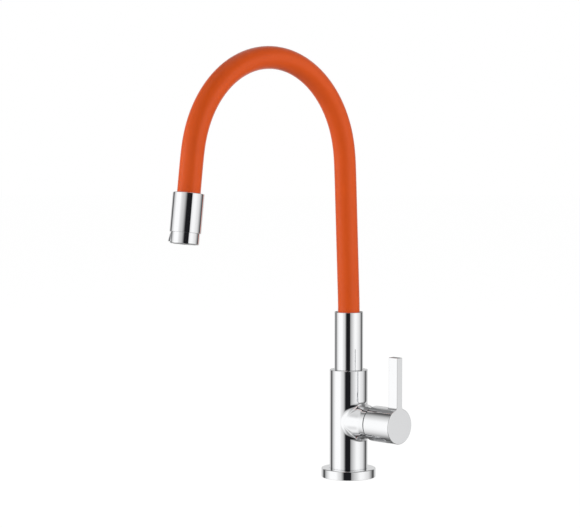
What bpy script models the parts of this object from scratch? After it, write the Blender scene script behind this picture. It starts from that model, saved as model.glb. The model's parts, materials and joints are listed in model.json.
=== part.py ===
"""Single-lever kitchen faucet with a flexible hose spout.

The origin is the centre of the body's underside, which stands on the deck. +Z is up, the handle
points along +X and the spout reaches towards -Y. Lengths are in metres and angles in degrees.
"""
import math

import bmesh
import bpy
from mathutils import Vector

# Fits: the clearance between pieces that touch, and how far a cutter runs past a face
GAP = 0.0003
OVERRUN = 0.001
SMOOTH_ANGLE = 32

# Facets round each kind of turned piece
BODY_SIDES = 40
TRIM_SIDES = 32
INNER_SIDES = 20
SMALL_SIDES = 12
SEAL_SECTION_SIDES = 5

# Body casting, sized from the waterways and sockets that it holds
INLET_THREAD_DIAMETER = 0.0092
INLET_THREAD_DEPTH = 0.014
INLET_BORE = 0.007
INLET_SPACING = 0.014
INLET_OFFSET = 0.003
STUD_HOLE_DIAMETER = 0.0068
STUD_HOLE_DEPTH = 0.014
STUD_OFFSET = 0.009
FOOT_WALL = 0.0034
FOOT_SHOULDER = 0.00425
SOCKET_WALL = 0.00705
SOCKET_FLOOR = 0.0084
SOCKET_DEPTH = 0.0268
OUTLET_BORE = 0.009
BODY_EDGE = 0.0008

# Base flange and the gasket in a groove under it
FLANGE_MARGIN = 0.00825
FLANGE_HEIGHT = 0.009
FLANGE_EDGE = 0.0018
GASKET_INSET = 0.003
GASKET_WIDTH = 0.0045
GASKET_THICKNESS = 0.0012

# Cartridge, in a cavity whose back is at a reach from the body's axis
HANDLE_HEIGHT = 0.0578
CAVITY_LEAST_REACH = 0.008
CARTRIDGE_DEPTH = 0.0252
CARTRIDGE_DIAMETER = 0.0256
CARTRIDGE_WALL = 0.0025
CARTRIDGE_CLEARANCE = 0.0004
PORT_DIAMETER = 0.0048
PORT_SPREAD = 0.005
PORT_DROP = 0.0035
OUTLET_PORT_RISE = 0.0055
PORT_SEAL_THICKNESS = 0.001
PORT_BASE_THICKNESS = 0.0052
FIXED_DISC_THICKNESS = 0.0025
MOVING_DISC_THICKNESS = 0.002
MOVING_DISC_MARGIN = 0.0024
MOVING_DISC_POCKET = 0.0012
CARRIER_THICKNESS = 0.0045
CARRIER_FLOOR = 0.0009
ROTOR_NOSE_STEP = 0.0016
ROTOR_NOSE_LENGTH = 0.005
ROTOR_SHOULDER = 0.0033
ROTOR_SLOT_HEIGHT = 0.0116
HOUSING_LIP = 0.002
NUT_SETBACK = 0.0007
NUT_THICKNESS = 0.0024
STEM_WIDTH = 0.006
STEM_BALL_DIAMETER = 0.004
STEM_NECK_DIAMETER = 0.003
STEM_SHOULDER = 0.0035
PIVOT_PIN_DIAMETER = 0.0024
PIVOT_PIN_LENGTH = 0.0145

# Side branch round the cartridge, and the handle's cap and lever on it
BRANCH_WALL = 0.0031
BRANCH_FILLET = 0.0035
BRANCH_FILLET_STEPS = 4
BRANCH_TAPER_STEPS = 3
BRANCH_SUNK = 0.00015
ROOT_MARGIN = 0.0014
TAPER_LEAST = 0.001
RIM_CLEARANCE = 0.0005
PIVOT_SETBACK = 0.003
HANDLE_LENGTH = 0.0328
SKIRT_CLEARANCE = 0.0005
SKIRT_WALL = 0.001
DOME_CLEARANCE = 0.0006
DOME_WALL = 0.0012
DOME_OPENING_DIAMETER = 0.021
LEVER_THICKNESS = 0.0115
LEVER_WIDTH = 0.0076
LEVER_RISE = 0.0685
LEVER_CORNER = 0.0008
LEVER_FILLET = 0.003
HANDLE_EDGE = 0.0006
HANDLE_END_WALL = 0.009
LIFT_ANGLE = 22

# Screws that hold the handle and the spout
SET_SCREW_DIAMETER = 0.0044
SET_SCREW_LENGTH = 0.008
SET_SCREW_SETBACK = 0.0055
SCREW_CAP_DIAMETER = 0.0056
SCREW_CAP_LENGTH = 0.003
HEX_SOCKET_SHARE = 0.55
HEX_DEPTH = 0.0018
GRUB_SCREW_DIAMETER = 0.0044

# Hose: a silicone sleeve over a gooseneck tube over the water hose
HOSE_LENGTH = 0.500
HOSE_LINKS = 8
SLEEVE_DIAMETER = 0.022
SLEEVE_WALL = 0.0024
GOOSENECK_CLEARANCE = 0.0004
GOOSENECK_WALL = 0.001
WATER_HOSE_CLEARANCE = 0.0006
WATER_HOSE_WALL = 0.0016
SLEEVE_INSERTION = 0.018
RISER_LEAN = 2.4
LEAN_RUN = 0.015
RISER_LENGTH = 0.1535
ARCH_RADIUS = 0.1035
ARCH_ANGLE = 170.6
BEND_EASE = 0.006
BALL_MARGIN = 0.001
BALL_GAP = 0.0004
FIRST_STATION = 0.013
BEND_PER_SPAN = 10
SLEEVE_SIDES = 20
CORE_SIDES = 10
ROUTE_STEP = 0.0005

# Spout base: swivel spigot, washer, seals and the chrome riser collar
MOUTH_CLEARANCE = 0.0007
COLLAR_WALL = 0.0028
COLLAR_LENGTH = 0.0573
COLLAR_EDGE = 0.0005
COLLAR_SHELF = 0.015
COLLAR_FOOT_WALL = 0.005
WASHER_THICKNESS = 0.0008
WASHER_INSET = 0.0005
SWIVEL_CLEARANCE = 0.0003
BARB_CLEARANCE = 0.0007
BARB_WALL = 0.00105
BARB_LENGTH = 0.019
SEAL_SECTION = 0.0017
SPIGOT_SEAL_SHARES = (0.14, 0.86)
LOCK_GROOVE_SHARE = 0.5
LOCK_GROOVE_MARGIN = 0.0007
LOCK_GROOVE_DEPTH = 0.0018

# Ferrules crimped on the hose ends; the upper one is measured from the head's top rim
FERRULE_CLEARANCE = 0.0005
FERRULE_LIP = 0.002
FERRULE_LIP_MARGIN = 0.001
HEAD_SLEEVE_INSERTION = 0.006
FERRULE_GRIP = 0.0077
FERRULE_WEB = 0.003
NIPPLE_DIAMETER = 0.014
NIPPLE_LAND = 0.0007
NIPPLE_TIP = 0.0013
SNAP_RING_THICKNESS = 0.0012
SNAP_GROOVE_DEPTH = 0.001

# Spray head
HEAD_MARGIN = 0.00355
HEAD_WALL = 0.00165
HEAD_EDGE = 0.0006
HEAD_MOUTH_LENGTH = 0.005
CORE_LIP = 0.0013
CORE_SOCKET_MARGIN = 0.0011
CORE_SOCKET_END_GAP = 0.0015
CORE_FLOOR = 0.007
CORE_PASSAGE = 0.006
SHELL_SKIRT = 0.0034
MODE_RING_RISE = 0.0107
MODE_RING_STEP = 0.00105
MODE_RING_WALL = 0.0016
MODE_RING_EDGE = 0.001
MODE_TAB_ANGLE = 137
MODE_TAB_WIDTH = 0.009
MODE_TAB_PROUD = 0.00045
MODE_TAB_FOOT = 0.0016
DIVERTER_THICKNESS = 0.004
DIVERTER_HOLE_DIAMETER = 0.0034
DIVERTER_HOLE_RADIUS = 0.0045
SPRAY_PLATE_THICKNESS = 0.0045
SPRAY_PLATE_RECESS = 0.0015
SPRAY_JETS = 12
SPRAY_JET_DIAMETER = 0.0014
AERATOR_DIAMETER = 0.0142
AERATOR_HEIGHT = 0.0062
AERATOR_WALL = 0.0012
AERATOR_FLOOR = 0.001
AERATOR_BARS = 3
AERATOR_BAR_WIDTH = 0.0009
SCREEN_THICKNESS = 0.0005
SCREEN_BORE = 0.006

# Body sizes that follow
CAVITY_RADIUS = CARTRIDGE_DIAMETER / 2 + CARTRIDGE_CLEARANCE
BRANCH_RADIUS = CAVITY_RADIUS + BRANCH_WALL
SKIRT_BORE_RADIUS = BRANCH_RADIUS + SKIRT_CLEARANCE
HANDLE_RADIUS = SKIRT_BORE_RADIUS + SKIRT_WALL
FOOT_RADIUS = INLET_SPACING / 2 + INLET_THREAD_DIAMETER / 2 + FOOT_WALL
BODY_RADIUS = max(FOOT_RADIUS + FOOT_SHOULDER, HANDLE_RADIUS + ROOT_MARGIN)
SOCKET_RADIUS = BODY_RADIUS - SOCKET_WALL
FLANGE_RADIUS = BODY_RADIUS + FLANGE_MARGIN
CARTRIDGE_BORE = CARTRIDGE_DIAMETER - CARTRIDGE_WALL * 2
SOCKET_BOTTOM = HANDLE_HEIGHT + BRANCH_RADIUS + SOCKET_FLOOR
BODY_HEIGHT = SOCKET_BOTTOM + SOCKET_DEPTH
BODY_SHOULDER = FLANGE_HEIGHT + GAP

# Handle sizes that follow; reaches are measured from the body's axis
BRANCH_ROOT_RADIUS = HANDLE_RADIUS
RIM_SWING = (HANDLE_RADIUS * math.sin(math.radians(LIFT_ANGLE))
             - PIVOT_SETBACK * math.cos(math.radians(LIFT_ANGLE)))
NECK_LEAST_REACH = BODY_RADIUS + BRANCH_FILLET + TAPER_LEAST
PIVOT_REACH = max(CAVITY_LEAST_REACH + CARTRIDGE_DEPTH, NECK_LEAST_REACH + RIM_CLEARANCE + RIM_SWING)
CAVITY_REACH = PIVOT_REACH - CARTRIDGE_DEPTH
BRANCH_NECK_REACH = PIVOT_REACH - RIM_SWING - RIM_CLEARANCE
SEAM_REACH = PIVOT_REACH + PIVOT_SETBACK
HANDLE_REACH = SEAM_REACH + HANDLE_LENGTH
DOME_RADIUS = math.hypot(SKIRT_BORE_RADIUS, PIVOT_SETBACK) - DOME_CLEARANCE
DOME_START = math.sqrt(DOME_RADIUS ** 2 - BRANCH_RADIUS ** 2)
ROTOR_NOSE_RADIUS = CARTRIDGE_BORE / 2 - ROTOR_NOSE_STEP
STEM_REACH = HANDLE_REACH - PIVOT_REACH - HANDLE_END_WALL
STEM_BALL_BACK = CARTRIDGE_DEPTH - (GAP * 6 + PORT_SEAL_THICKNESS + PORT_BASE_THICKNESS
                                    + FIXED_DISC_THICKNESS + MOVING_DISC_THICKNESS
                                    + CARRIER_FLOOR + STEM_BALL_DIAMETER / 2)
DISC_TRAVEL = math.radians(LIFT_ANGLE) * STEM_BALL_BACK

# Hose and spout sizes that follow
SLEEVE_BORE = SLEEVE_DIAMETER - SLEEVE_WALL * 2
GOOSENECK_DIAMETER = SLEEVE_BORE - GOOSENECK_CLEARANCE * 2
GOOSENECK_BORE = GOOSENECK_DIAMETER - GOOSENECK_WALL * 2
WATER_HOSE_DIAMETER = GOOSENECK_BORE - WATER_HOSE_CLEARANCE * 2
WATER_HOSE_BORE = WATER_HOSE_DIAMETER - WATER_HOSE_WALL * 2
BALL_RADIUS = SLEEVE_DIAMETER / 2 + BALL_MARGIN
LINK_LENGTH = HOSE_LENGTH / HOSE_LINKS
BARB_RADIUS = WATER_HOSE_BORE / 2 - BARB_CLEARANCE
SPIGOT_BORE_RADIUS = BARB_RADIUS - BARB_WALL
SPIGOT_RADIUS = SOCKET_RADIUS - SWIVEL_CLEARANCE
SPIGOT_BOTTOM = SOCKET_BOTTOM + GAP
SPIGOT_SHOULDER = BODY_HEIGHT - GAP
SPIGOT_RUN = SPIGOT_SHOULDER - SPIGOT_BOTTOM
LOCK_GROOVE_HEIGHT = SPIGOT_BOTTOM + SPIGOT_RUN * LOCK_GROOVE_SHARE
MOUTH_RADIUS = SLEEVE_DIAMETER / 2 + MOUTH_CLEARANCE
COLLAR_RADIUS = MOUTH_RADIUS + COLLAR_WALL
SPIGOT_NECK_RADIUS = COLLAR_RADIUS - COLLAR_FOOT_WALL
WASHER_BOTTOM = BODY_HEIGHT + GAP
COLLAR_BOTTOM = WASHER_BOTTOM + WASHER_THICKNESS + GAP
COLLAR_TOP = COLLAR_BOTTOM + COLLAR_LENGTH
SHELF_HEIGHT = COLLAR_BOTTOM + COLLAR_SHELF
FERRULE_RADIUS = MOUTH_RADIUS - FERRULE_CLEARANCE
FERRULE_BOTTOM = SHELF_HEIGHT + GAP
HOSE_BOTTOM = FERRULE_BOTTOM + FERRULE_LIP + GAP
SLEEVE_BOTTOM = COLLAR_TOP - SLEEVE_INSERTION

# Head sizes that follow, measured along its axis from its top rim
HEAD_RADIUS = FERRULE_RADIUS + HEAD_MARGIN
HEAD_SHELL_BORE_RADIUS = HEAD_RADIUS - HEAD_WALL
HEAD_HOSE_INSERTION = HEAD_SLEEVE_INSERTION + FERRULE_GRIP
FERRULE_END = HEAD_HOSE_INSERTION + GAP + FERRULE_WEB
CORE_START = FERRULE_END + GAP * 2
CORE_LIP_END = CORE_START + CORE_LIP
CORE_SOCKET_RADIUS = NIPPLE_DIAMETER / 2 + CORE_SOCKET_MARGIN
SNAP_RING_START = CORE_LIP_END + GAP
SNAP_RING_END = SNAP_RING_START + SNAP_RING_THICKNESS
NIPPLE_SEAL_START = SNAP_RING_END + GAP + NIPPLE_LAND
NIPPLE_SEAL_END = NIPPLE_SEAL_START + SEAL_SECTION + GAP * 2
NIPPLE_END = NIPPLE_SEAL_END + NIPPLE_TIP
CORE_SOCKET_END = NIPPLE_END + CORE_SOCKET_END_GAP
CORE_END = CORE_SOCKET_END + CORE_FLOOR
HEAD_SHELL_LENGTH = CORE_END + SHELL_SKIRT
MODE_RING_END = HEAD_SHELL_LENGTH + MODE_RING_RISE
MODE_RING_RADIUS = HEAD_RADIUS - MODE_RING_STEP
MODE_SPIGOT_RADIUS = HEAD_SHELL_BORE_RADIUS - GAP
MODE_BORE_RADIUS = MODE_SPIGOT_RADIUS - MODE_RING_WALL

COLOURS = {
    "chrome": ((0.86, 0.87, 0.88), 1.0, 0.06),
    "brass": ((0.78, 0.62, 0.32), 1.0, 0.32),
    "steel": ((0.62, 0.63, 0.65), 1.0, 0.28),
    "silicone": ((0.78, 0.26, 0.07), 0.0, 0.45),
    "rubber": ((0.03, 0.03, 0.03), 0.0, 0.60),
    "white_plastic": ((0.82, 0.82, 0.80), 0.0, 0.40),
    "grey_plastic": ((0.32, 0.33, 0.35), 0.0, 0.42),
    "ceramic": ((0.90, 0.89, 0.86), 0.0, 0.15),
    "water_tube": ((0.55, 0.60, 0.66), 0.0, 0.50),
}


def clear_scene():
    """Remove whatever the file opened with."""
    for thing in list(bpy.data.objects):
        bpy.data.objects.remove(thing, do_unlink=True)


def paint(piece, kind):
    """Give a piece a material of its own, of one of the kinds above."""
    colour, metallic, roughness = COLOURS[kind]
    material = bpy.data.materials.new(piece.name + "_" + kind)
    material.use_nodes = True
    shader = material.node_tree.nodes["Principled BSDF"]
    shader.inputs["Base Color"].default_value = (*colour, 1)
    shader.inputs["Metallic"].default_value = metallic
    shader.inputs["Roughness"].default_value = roughness
    piece.data.materials.append(material)


def to_object(name, form, kind=None):
    """Turn a bmesh into an object; without a kind of material it is a hidden helper."""
    bmesh.ops.recalc_face_normals(form, faces=form.faces)
    mesh = bpy.data.meshes.new(name)
    form.to_mesh(mesh)
    form.free()
    mesh.shade_smooth()
    mesh.set_sharp_from_angle(angle=math.radians(SMOOTH_ANGLE))
    piece = bpy.data.objects.new(name, mesh)
    bpy.context.scene.collection.objects.link(piece)
    if kind:
        paint(piece, kind)
    else:
        piece.hide_render = True
        piece.display_type = "WIRE"
    return piece


def add_frame(name, place, turn=(0, 0, 0), parent=None):
    """An empty on a joint's axis; turn is in radians about X, Y and Z."""
    frame = bpy.data.objects.new(name, None)
    frame.location = place
    frame.rotation_euler = turn
    frame.parent = parent
    bpy.context.scene.collection.objects.link(frame)
    return frame


def turns(sides):
    """Angles of evenly spaced points round a full turn."""
    return [math.tau * step / sides for step in range(sides)]


def join_rings(form, first, second):
    """Faces between two rings of vertices; a ring of one vertex is a pole."""
    count = max(len(first), len(second))
    for step in range(count):
        after = (step + 1) % count
        corners = [first[step % len(first)], first[after % len(first)],
                   second[after % len(second)], second[step % len(second)]]
        unique = [corner for place, corner in enumerate(corners) if corner not in corners[:place]]
        form.faces.new(unique)


def turned(name, profile, sides, kind=None, frame=None, phase=0):
    """Turn (radius, height) points about the frame's Z axis, the first facet starting at the phase.

    A profile that starts on the axis ends on it; any other is the closed section of a ring.
    """
    form = bmesh.new()
    rings = []
    for radius, height in profile:
        around = [turn + phase for turn in turns(sides)] if radius > 0 else [0]
        rings.append([form.verts.new((radius * math.cos(turn), radius * math.sin(turn), height))
                      for turn in around])
    for lower, upper in zip(rings, rings[1:]):
        join_rings(form, lower, upper)
    if profile[0][0] > 0:
        join_rings(form, rings[-1], rings[0])
    else:
        flat = [rings[end][0] for end, beside in ((0, 1), (-1, -2))
                if profile[end][1] == profile[beside][1]]
        bmesh.ops.dissolve_verts(form, verts=flat)
    piece = to_object(name, form, kind)
    piece.parent = frame
    return piece


def tube_section(inner, outer, low, high):
    """The closed section of a plain ring or tube."""
    return [(inner, low), (outer, low), (outer, high), (inner, high)]


def rod_section(radius, low, high):
    """The section of a plain solid rod."""
    return [(0, low), (radius, low), (radius, high), (0, high)]


def seal_section(middle, height):
    """The round section of an O-ring whose cord is centred at a radius and height."""
    return [(middle + SEAL_SECTION / 2 * math.cos(turn), height + SEAL_SECTION / 2 * math.sin(turn))
            for turn in turns(SEAL_SECTION_SIDES)]


def block(name, low, high, kind=None, frame=None):
    """A box between two corners."""
    form = bmesh.new()
    bmesh.ops.create_cube(form, size=1)
    for corner in form.verts:
        for axis in range(3):
            corner.co[axis] = high[axis] if corner.co[axis] > 0 else low[axis]
    piece = to_object(name, form, kind)
    piece.parent = frame
    return piece


def prism(name, outline, width, frame, angle):
    """A helper with an outline of (reach, height) points, as wide as given, turned about Z."""
    form = bmesh.new()
    sides = [[form.verts.new((reach, side, height)) for reach, height in outline]
             for side in (-width / 2, width / 2)]
    join_rings(form, *sides)
    for side in sides:
        form.faces.new(side)
    piece = to_object(name, form)
    piece.parent = frame
    piece.rotation_euler = (0, 0, math.radians(angle))
    return piece


def combine(piece, tool, operation):
    """Join a helper to a piece, or cut it out."""
    change = piece.modifiers.new(tool.name, "BOOLEAN")
    change.operation = operation
    change.object = tool
    change.solver = "EXACT"


def drill(piece, name, radius, low, high, place=(0, 0, 0), turn=(0, 0, 0), sides=SMALL_SIDES):
    """Cut a round hole that runs from low to high along a local Z axis."""
    tool = turned(name, rod_section(radius, low, high), sides, frame=piece.parent, phase=math.pi / sides)
    tool.location = place
    tool.rotation_euler = turn
    combine(piece, tool, "DIFFERENCE")


ALONG_X = (0, math.pi / 2, 0)
ALONG_Y = (-math.pi / 2, 0, 0)
ALONG_MINUS_Z = (math.pi, 0, 0)


def build_flange():
    """The chrome base ring and the gasket in the groove under it."""
    outer = FLANGE_RADIUS
    bore = FOOT_RADIUS + GAP
    gasket_outer = outer - GASKET_INSET
    gasket_inner = gasket_outer - GASKET_WIDTH
    groove_inner = gasket_inner - GAP
    groove_outer = gasket_outer + GAP
    groove_top = GASKET_THICKNESS + GAP
    half = FLANGE_EDGE * math.sin(math.pi / 4)
    profile = [
        (bore, 0), (groove_inner, 0), (groove_inner, groove_top), (groove_outer, groove_top),
        (groove_outer, 0), (outer, 0), (outer, FLANGE_HEIGHT - FLANGE_EDGE),
        (outer - FLANGE_EDGE + half, FLANGE_HEIGHT - FLANGE_EDGE + half),
        (outer - FLANGE_EDGE, FLANGE_HEIGHT), (bore, FLANGE_HEIGHT),
    ]
    turned("base_flange", profile, BODY_SIDES, "chrome")
    turned("base_gasket", tube_section(gasket_inner, gasket_outer, 0, GASKET_THICKNESS),
           TRIM_SIDES, "rubber")


def port_places():
    """Sideways and upward places of the two inlet ports and the outlet port."""
    return [(-PORT_SPREAD, -PORT_DROP), (PORT_SPREAD, -PORT_DROP), (0, OUTLET_PORT_RISE)]


def drill_ports(piece, name, low, high):
    """The three water ports, along X between two reaches."""
    for number, (side, rise) in enumerate(port_places(), 1):
        tool = turned(name + "_port_" + str(number), rod_section(PORT_DIAMETER / 2, low, high),
                      SMALL_SIDES, phase=math.pi / SMALL_SIDES)
        tool.location = (0, side, HANDLE_HEIGHT + rise)
        tool.rotation_euler = ALONG_X
        combine(piece, tool, "DIFFERENCE")


def branch_column(turn, start, end):
    """Points along the branch at one turn about its axis: sunk in the body, fillet, taper, neck."""
    side = math.cos(turn)
    rise = math.sin(turn)
    reach = BRANCH_ROOT_RADIUS + BRANCH_FILLET
    middle = Vector((math.sqrt((BODY_RADIUS + BRANCH_FILLET) ** 2 - (reach * side) ** 2),
                     reach * side, reach * rise))
    to_wall = -Vector((middle.x, middle.y, 0)).normalized()
    to_branch = -Vector((0, side, rise))
    on_wall = middle + BRANCH_FILLET * to_wall
    column = [Vector((start, BRANCH_RADIUS * side, BRANCH_RADIUS * rise)),
              on_wall + BRANCH_SUNK * to_wall]
    for step in range(BRANCH_FILLET_STEPS + 1):
        direction = to_wall.slerp(to_branch, step / BRANCH_FILLET_STEPS)
        column.append(middle + BRANCH_FILLET * direction)
    column.pop(2)
    for step in range(1, BRANCH_TAPER_STEPS + 1):
        share = step / BRANCH_TAPER_STEPS
        radius = BRANCH_ROOT_RADIUS - (BRANCH_ROOT_RADIUS - BRANCH_RADIUS) * share ** 2
        column.append(Vector((middle.x + (BRANCH_NECK_REACH - middle.x) * share,
                              radius * side, radius * rise)))
    column.append(Vector((end, BRANCH_RADIUS * side, BRANCH_RADIUS * rise)))
    return column


def build_branch(start, end):
    """A helper for the side branch, along X from inside the body to its open end."""
    form = bmesh.new()
    columns = [[form.verts.new(place) for place in branch_column(turn, start, end)]
               for turn in turns(TRIM_SIDES)]
    rings = list(zip(*columns))
    for lower, upper in zip(rings, rings[1:]):
        join_rings(form, lower, upper)
    form.faces.new(rings[0])
    form.faces.new(rings[-1])
    return to_object("branch", form)


def build_body():
    """The main casting with its side branch, waterways and sockets."""
    foot = FOOT_RADIUS
    radius = BODY_RADIUS
    socket = SOCKET_RADIUS
    outlet = OUTLET_BORE / 2
    outlet_bottom = HANDLE_HEIGHT + OUTLET_PORT_RISE - PORT_DIAMETER / 2 - OVERRUN
    profile = [
        (0, 0), (foot, 0), (foot, BODY_SHOULDER), (radius, BODY_SHOULDER),
        (radius, BODY_HEIGHT - BODY_EDGE), (radius - BODY_EDGE, BODY_HEIGHT), (socket, BODY_HEIGHT),
        (socket, SOCKET_BOTTOM), (outlet, SOCKET_BOTTOM), (outlet, outlet_bottom), (0, outlet_bottom),
    ]
    body = turned("body", profile, BODY_SIDES, "chrome")
    branch_end = PIVOT_REACH + DOME_START - GAP
    branch = build_branch(outlet + GAP, branch_end)
    branch.location = (0, 0, HANDLE_HEIGHT)
    combine(body, branch, "UNION")
    drill(body, "cartridge_cavity", CAVITY_RADIUS, CAVITY_REACH, branch_end + OVERRUN,
          (0, 0, HANDLE_HEIGHT), ALONG_X, INNER_SIDES)
    drill_ports(body, "body", -INLET_OFFSET, CAVITY_REACH + OVERRUN)
    inlet_top = HANDLE_HEIGHT - PORT_DROP + PORT_DIAMETER / 2 + OVERRUN
    for number, side in enumerate((-INLET_SPACING / 2, INLET_SPACING / 2), 1):
        profile = [
            (0, -OVERRUN), (INLET_THREAD_DIAMETER / 2, -OVERRUN),
            (INLET_THREAD_DIAMETER / 2, INLET_THREAD_DEPTH), (INLET_BORE / 2, INLET_THREAD_DEPTH),
            (INLET_BORE / 2, inlet_top), (0, inlet_top),
        ]
        inlet = turned("inlet_" + str(number), profile, SMALL_SIDES)
        inlet.location = (-INLET_OFFSET, side, 0)
        combine(body, inlet, "DIFFERENCE")
    drill(body, "stud_hole", STUD_HOLE_DIAMETER / 2, -OVERRUN, STUD_HOLE_DEPTH, (STUD_OFFSET, 0, 0))
    drill(body, "grub_hole", GRUB_SCREW_DIAMETER / 2 + GAP, socket - OVERRUN, radius + OVERRUN,
          (0, 0, LOCK_GROOVE_HEIGHT), ALONG_Y)


def screw_section(radius, length):
    """A headless screw with a driver socket in its far end."""
    socket = radius * HEX_SOCKET_SHARE
    return [(0, 0), (radius, 0), (radius, length), (socket, length), (socket, length - HEX_DEPTH),
            (0, length - HEX_DEPTH)]


def build_grub_screw():
    """The screw at the back of the body whose tip runs in the spigot's groove."""
    tip = SPIGOT_RADIUS - LOCK_GROOVE_DEPTH + GAP
    length = BODY_RADIUS - BODY_EDGE - tip
    screw = turned("spout_grub_screw", screw_section(GRUB_SCREW_DIAMETER / 2, length),
                   SMALL_SIDES, "steel")
    screw.location = (0, tip, LOCK_GROOVE_HEIGHT)
    screw.rotation_euler = ALONG_Y


def build_cartridge(axis):
    """The fixed pieces of the mixing cartridge, along X from the back of its cavity."""
    reach = CAVITY_REACH + GAP
    seat = CARTRIDGE_BORE / 2 - GAP
    for name, thickness, kind in (
            ("port_seal", PORT_SEAL_THICKNESS, "rubber"),
            ("cartridge_base", PORT_BASE_THICKNESS, "grey_plastic"),
            ("fixed_disc", FIXED_DISC_THICKNESS, "ceramic")):
        piece = turned(name, rod_section(seat, reach, reach + thickness), INNER_SIDES, kind, axis)
        drill_ports(piece, name, reach - OVERRUN, reach + thickness + OVERRUN)
        reach += thickness + GAP
    start = CAVITY_REACH + PORT_SEAL_THICKNESS + GAP * 2
    end = PIVOT_REACH - NUT_SETBACK - GAP
    outer = CARTRIDGE_DIAMETER / 2
    bore = CARTRIDGE_BORE / 2
    lip_bore = ROTOR_NOSE_RADIUS + GAP
    profile = [(bore, start), (outer, start), (outer, end), (lip_bore, end),
               (lip_bore, end - HOUSING_LIP), (bore, end - HOUSING_LIP)]
    turned("cartridge_housing", profile, INNER_SIDES, "white_plastic", axis)
    nut_start = PIVOT_REACH - NUT_SETBACK
    turned("cartridge_nut",
           tube_section(lip_bore, CAVITY_RADIUS - GAP, nut_start, nut_start + NUT_THICKNESS),
           INNER_SIDES, "brass", axis)
    return reach


def arc(middle, radius, start, end, steps):
    """Points on an arc; the middle is (radius, height) and angles run from the height axis."""
    points = []
    for step in range(steps + 1):
        turn = start + (end - start) * step / steps
        points.append((middle[0] + radius * math.sin(turn), middle[1] + radius * math.cos(turn)))
    return points


DOME_STEPS = 4


def build_dome(axis):
    """The ball-shaped cover over the cartridge, centred on the handle's pivot."""
    opening = DOME_OPENING_DIAMETER / 2
    inner_radius = DOME_RADIUS - DOME_WALL
    centre = (0, PIVOT_REACH)
    outer = arc(centre, DOME_RADIUS, math.acos(DOME_START / DOME_RADIUS),
                math.asin(opening / DOME_RADIUS), DOME_STEPS)
    inner = arc(centre, inner_radius, math.asin(opening / inner_radius),
                math.acos(DOME_START / inner_radius), DOME_STEPS)
    turned("dome_cover", outer + inner, TRIM_SIDES, "chrome", axis)


def build_rotor(axis, carrier_end):
    """The cartridge rotor, the pin across it and the slot that lets the stem tilt."""
    big = CARTRIDGE_BORE / 2 - GAP
    nose = ROTOR_NOSE_RADIUS
    shoulder = PIVOT_REACH - ROTOR_SHOULDER
    end = PIVOT_REACH + ROTOR_NOSE_LENGTH
    profile = [(0, carrier_end), (big, carrier_end), (big, shoulder), (nose, shoulder), (nose, end),
               (0, end)]
    rotor = turned("cartridge_rotor", profile, INNER_SIDES, "grey_plastic", axis)
    half_width = STEM_WIDTH / 2 + GAP
    slot = block("rotor_slot", (-ROTOR_SLOT_HEIGHT / 2, -half_width, carrier_end - OVERRUN),
                 (ROTOR_SLOT_HEIGHT / 2, half_width, end + OVERRUN), frame=axis)
    combine(rotor, slot, "DIFFERENCE")
    run = nose + OVERRUN
    pin_hole = turned("rotor_pin_hole", rod_section(PIVOT_PIN_DIAMETER / 2 + GAP, -run, run), SMALL_SIDES)
    pin_hole.location = (PIVOT_REACH, 0, HANDLE_HEIGHT)
    pin_hole.rotation_euler = ALONG_Y
    combine(rotor, pin_hole, "DIFFERENCE")
    half_pin = PIVOT_PIN_LENGTH / 2
    pin = turned("pivot_pin", rod_section(PIVOT_PIN_DIAMETER / 2, -half_pin, half_pin),
                 SMALL_SIDES, "steel")
    pin.location = (PIVOT_REACH, 0, HANDLE_HEIGHT)
    pin.rotation_euler = ALONG_Y


def build_moving_disc(axis, start):
    """The sliding ceramic disc and its carrier, set down by half their travel when shut."""
    radius = CARTRIDGE_BORE / 2 - MOVING_DISC_MARGIN
    disc_end = start + MOVING_DISC_THICKNESS
    carrier_start = disc_end + GAP
    carrier_end = carrier_start + CARRIER_THICKNESS
    slide = add_frame("disc_slide_axis", (DISC_TRAVEL / 2, 0, 0), parent=axis)
    disc = turned("moving_disc", rod_section(radius, start, disc_end), INNER_SIDES, "ceramic", slide)
    drill(disc, "disc_pocket", radius / 2, start - OVERRUN, start + MOVING_DISC_POCKET)
    carrier = turned("disc_carrier", rod_section(radius, carrier_start, carrier_end),
                     INNER_SIDES, "white_plastic", slide)
    drill(carrier, "carrier_pocket", STEM_BALL_DIAMETER / 2 + GAP, carrier_start + CARRIER_FLOOR,
          carrier_end + OVERRUN, (-DISC_TRAVEL / 2, 0, 0))
    return carrier_end + GAP


def build_stem(pivot):
    """The square stem, its neck and the ball that drives the disc carrier."""
    ball = STEM_BALL_DIAMETER / 2
    neck = STEM_NECK_DIAMETER / 2
    half = STEM_WIDTH / 2
    neck_turn = math.asin(neck / ball)
    ball_points = arc((0, -STEM_BALL_BACK), ball, math.pi, neck_turn, DOME_STEPS)
    profile = [(0, ball_points[0][1])] + ball_points[1:] + [(neck, -STEM_SHOULDER + OVERRUN),
                                                          (0, -STEM_SHOULDER + OVERRUN)]
    stem = turned("stem", profile, SMALL_SIDES, "brass", pivot)
    bar = block("stem_bar", (-half, -half, -STEM_SHOULDER), (half, half, STEM_REACH), frame=pivot)
    combine(stem, bar, "UNION")
    pin_hole = turned("stem_pin_hole",
                      rod_section(PIVOT_PIN_DIAMETER / 2 + GAP, -STEM_WIDTH, STEM_WIDTH), SMALL_SIDES)
    pin_hole.location = (PIVOT_REACH, 0, HANDLE_HEIGHT)
    pin_hole.rotation_euler = ALONG_Y
    combine(stem, pin_hole, "DIFFERENCE")


ROUND_STEPS = 34
UNDER_BAR_STEPS = 4
FILLET_STEPS = 3
CORNER_STEPS = 2


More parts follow.
